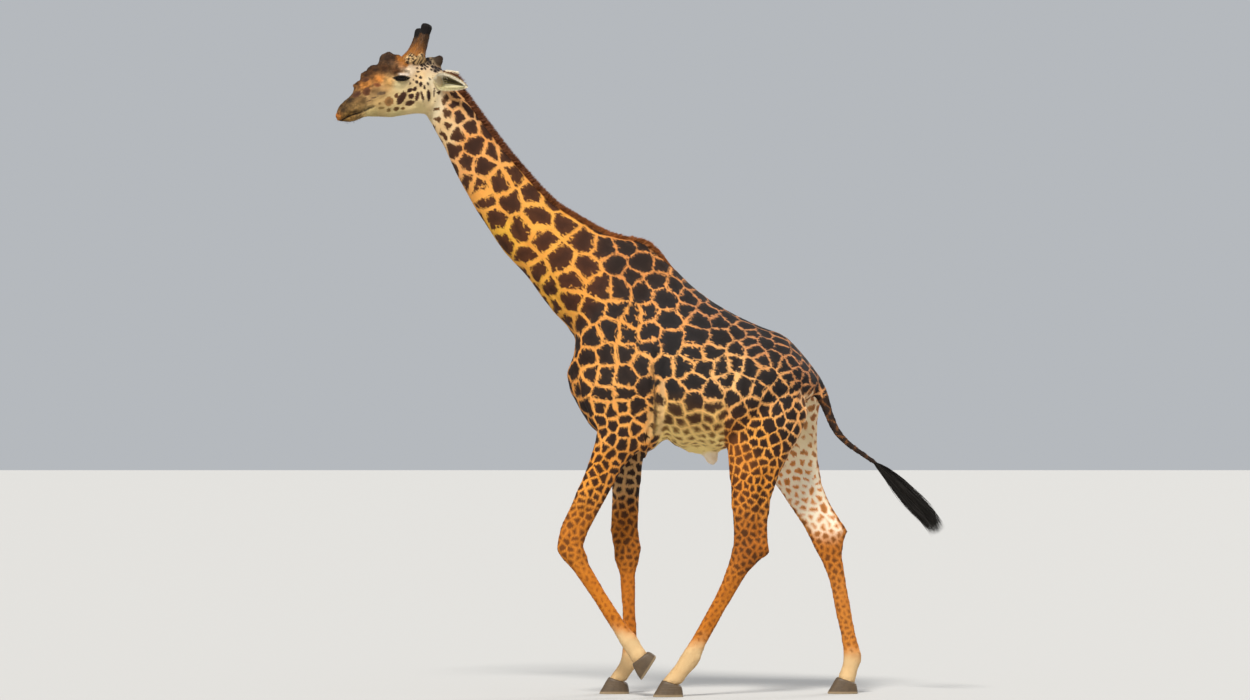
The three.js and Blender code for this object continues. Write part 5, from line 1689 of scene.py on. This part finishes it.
style = earStyle
earPaint = earMaterial()
earRoots, earWays, earUps, earTones, earLengths = [], [], [], [], []
for name in ("left", "right"):
    root, tip, opening = (np.array(style[name][key]) for key in ("root", "tip", "open"))
    axis = unit(tip - root)
    opening = unit(opening - axis * (opening @ axis))
    across = np.cross(axis, opening)
    length = np.linalg.norm(tip - root)
    shares = np.linspace(0, 1, style["rows"])
    turns = np.linspace(-1, 1, style["columns"])
    outer = np.empty((len(shares), len(turns), 3))
    way = np.empty_like(outer)
    for i, share in enumerate(shares):
        half = np.interp(share, style["shares"], style["halfWidths"])
        wrap = np.interp(share, style["shares"], style["wrap"])
        radius = half / math.sin(min(wrap, math.pi / 2))
        angles = turns * wrap
        wave = 1 + 0.03 * math.sin(9 * share)
        rise = 0.016 * math.sin(math.pi * share)  # the leaf bows a little
        back = radius * (1 - math.cos(wrap)) * 0.5
        outer[i] = (root + axis * (share * length) - opening * rise
                    + across * (radius * wave * np.sin(angles))[:, None]
                    - opening * (radius * np.cos(angles) - radius + back)[:, None])
        way[i] = -opening * np.cos(angles)[:, None] + across * np.sin(angles)[:, None]
    edge = 1 - np.abs(turns)
    thin = np.clip(edge * 4, 0.15, 1)[None, :, None] * np.clip((1 - shares) * 8, 0.1, 1)[:, None, None]
    thick = style["thick"] * thin
    innerFace = outer - way * thick
    outerVerts, outerFaces = ringGrid(outer, closed=False)
    innerVerts, innerFaces = ringGrid(innerFace, closed=False)
    count = len(outerVerts)
    faces = [f[::-1] for f in outerFaces] + [tuple(count + v for v in f) for f in innerFaces]
    rows, columns = len(shares), len(turns)
    for i in range(rows - 1):  # close the rims
        for j in (0, columns - 1):
            a, b = i * columns + j, (i + 1) * columns + j
            faces.append((a, b, count + b, count + a) if j == 0 else (b, a, count + a, count + b))
    for j in range(columns - 1):
        for i in (0, rows - 1):
            a, b = i * columns + j, i * columns + j + 1
            faces.append((b, a, count + a, count + b) if i == 0 else (a, b, count + b, count + a))
    verts = np.vstack([outerVerts, innerVerts])
    ear = meshFrom("earLeaf_" + name, fromHead(verts), faces)
    body = bmesh.new()
    body.from_mesh(ear.data)
    bmesh.ops.recalc_face_normals(body, faces=body.faces)
    body.to_mesh(ear.data)
    body.free()
    gridShare = np.repeat(shares, columns)
    setAttribute(ear.data, "inner", np.repeat([0.0, 1.0], count))
    lowSide = np.tile(turns, rows) * (1 if name == "left" else -1)  # below the middle of the hollow
    middleOut = 1 - np.abs(lowSide + 0.02) / 0.40
    fromRim = np.minimum(middleOut, 2.2 * (1 - gridShare)) - 1.3 * ramp(0.27 - gridShare, 0, 0.19)
    setAttribute(ear.data, "fromRim", np.tile(fromRim, 2))  # for the outer face and the inner one
    # the lower half of the rim, which takes the painted shade
    setAttribute(ear.data, "shadedHalf", np.tile(ramp(lowSide, 0.1, 0.45), 2))
    setAttribute(ear.data, "towardsTip", np.tile(gridShare, 2))
    local = np.stack([gridShare * length, np.tile(turns, rows) * 0.08, 0 * gridShare], axis=1)
    setAttribute(ear.data, "place", np.vstack([local, local]))
    ear.data.materials.append(earPaint)
    simpleMap(ear, np.array([0.90 if name == "left" else 0.96, 0.62]), 0.05)
    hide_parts("ear_" + name)
    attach(ear, "root")
    rng = np.random.default_rng(71 if name == "left" else 73)
    for tuftNo in range(style["furOutside"]):  # short fur
        i, j = rng.integers(0, rows - 1), rng.integers(0, columns)
        earRoots.append(outer[i, j] + way[i, j] * 0.0005 + rng.normal(0, 0.001, 3))
        earWays.append(unit(axis + across * turns[j] * 0.25 * (1 - shares[i]) + rng.normal(0, 0.1, 3)))
        earUps.append(way[i, j])
        shade = seen(style["rootTone"]) * (1 - shares[i]) + seen(style["outside"]) * shares[i]
        earTones.append(shade * rng.uniform(0.75, 1.1))
        earLengths.append(rng.uniform(0.010, 0.016))
    for tuftNo in range(style["hairsInside"]):  # long pale hair, from the rims inwards
        i = rng.integers(2, rows - 3)
        sideNo = rng.choice([-1, 1])
        inwards = (0.30 if i > 10 else 0.95) * rng.random() ** 1.5
        j = int(np.clip(round((columns - 1) / 2 * (1 + sideNo * (1 - inwards))), 0, columns - 1))
        earRoots.append(innerFace[i, j] + way[i, j] * -0.0004)
        earWays.append(unit(axis * 0.9 - across * turns[j] * 0.9 + opening * 0.35 + rng.normal(0, 0.15, 3)))
        earUps.append(opening)
        # hairs on the lower rim carry its painted shade
        belowMiddle = sideNo * (1 if name == "left" else -1) > 0
        earTones.append(seen(style["shadedRim" if belowMiddle else "rim"]) * rng.uniform(0.75, 1.0))
        earLengths.append(rng.uniform(0.016, 0.032) * (1 - 0.5 * shares[i]))
roots = fromHead(np.array(earRoots))
built = bladeMesh(roots, np.array(earWays) @ headOut[:3, :3].T, np.array(earUps) @ headOut[:3, :3].T,
                  np.array(earLengths), np.full(len(roots), style["hairWidth"]))
addHair("earHair", built, mapNear(roots), roots, np.array(earTones))
print("ears built")

# hooves: two claws on each foot, with growth rings

hoofStyle = {
    "grain": 0.0036, "ringEvery": 0.017, "ringDepth": 0.0003, "turned": 57.0,  # degrees, the lifted foot
    "tone": (118, 96, 68), "dark": (66, 54, 43), "worn": (158, 136, 104),
}


def hoofMaterial():
    material, tree, shader = newMaterial("hoofHorn", roughness=0.5, Specular_IOR_Level=0.4)
    level = readAttribute(tree, "level")
    place = readAttribute(tree, "place", "Vector")
    cloud = noiseNode(tree, place, 26, 4, 0.6)
    streak = noiseNode(tree, stretched(tree, place, (300, 300, 22)), 1.0, 2)
    rings = calc(tree, "SINE", calc(tree, "ADD", calc(tree, "MULTIPLY", level, 2 * math.pi / 0.011),
                                    calc(tree, "MULTIPLY", cloud, 11.0)))
    tone = blendTones(tree, cloud, seen(hoofStyle["dark"]), seen(hoofStyle["tone"]))
    tone = blendTones(tree, calc(tree, "MULTIPLY", streak, 0.5), tone, seen(hoofStyle["dark"]))
    tone = blendTones(tree, eased(tree, level, 0.022, 0.004), tone, seen(hoofStyle["worn"]))
    tree.links.new(tone, shader.inputs["Base Color"])
    addBump(tree, shader, calc(tree, "ADD", rings, calc(tree, "MULTIPLY", streak, 4.0)), 0.0005, 0.5)
    return material


style = hoofStyle
hoofPaint = hoofMaterial()
for leg in legJoints:
    names = [f"hoof_{leg}_{claw}" for claw in ("inner", "outer")]
    hoof = joinedNodes("claws_" + leg, names)
    remesh(hoof, style["grain"])
    co2 = coordsOf(hoof.data)
    up = np.array([0, 0, 1.0])
    if leg == "fore_left":  # the lifted foot hangs turned, and its claws are shortest across the sole
        turn = math.radians(style["turned"])
        candidates = [np.array([s * math.sin(turn), 0, math.cos(turn)]) for s in (-1, 1)]
        up = min(candidates, key=lambda way: np.ptp(co2 @ way))
    level = co2 @ up
    level = level - level.min()
    soft = averaged(co2, edgesOf(hoof.data), 0.5, 34)  # rounded off towards the coronet, sharp at the sole
    slight = averaged(co2, edgesOf(hoof.data), 0.5, 90 if leg == "fore_left" else 4)
    share = ramp(level, 0.015, 0.05)[:, None]
    co2 = soft * share + slight * (1 - share)
    moveTo(hoof.data, co2)
    normals2 = normalsOf(hoof.data)
    steep = 1 - np.abs(normals2 @ up)
    co2 += normals2 * (steep * style["ringDepth"] * np.sin(2 * math.pi * level / style["ringEvery"]))[:, None]
    if leg != "fore_left":
        co2[:, 2] = np.maximum(co2[:, 2], 0.0)
    moveTo(hoof.data, co2)
    setAttribute(hoof.data, "level", level)
    setAttribute(hoof.data, "place", co2)
    hoof.data.materials.append(hoofPaint)
    simpleMap(hoof, np.array([0.88 + 0.03 * list(legJoints).index(leg), 0.50]), 0.025)
    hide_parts(*names)
    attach(hoof, "root")
print("hooves built")

# whiskers on lips and chin

whiskerStyle = {"count": 300, "length": 0.022, "width": 0.0012, "tone": (58, 46, 34)}
style = whiskerStyle
count = style["count"]
rng = np.random.default_rng(83)
inHead = toHead(co)
belowMouth = inHead[:, 2] < -0.16 + 0.45 * (inHead[:, 0] + 0.60)
lips = ((inHead[:, 0] < -0.60) & belowMouth & (area == 1)).astype(float)
at = scatter(count, lips + 1e-9, 85)
stray = rng.normal(0, 0.15, (count, 3))
way = unit(at["normal"] * 0.8 + at["way"] * 0.45 + np.array([0, 0, -0.5]) + stray)
built = bladeMesh(at["point"], way, unit(np.cross(way, [0.3, 1.0, 0.2])),
                  style["length"] * rng.uniform(0.4, 1.1, count),
                  np.full(count, style["width"]), lift=0.1, curl=0.3, steps=4)
tone = np.repeat([seen(style["tone"])], count, axis=0)
addHair("whiskers", built, mix3(at, flatMap, True), at["point"], tone)
print("whiskers built")

low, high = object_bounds()
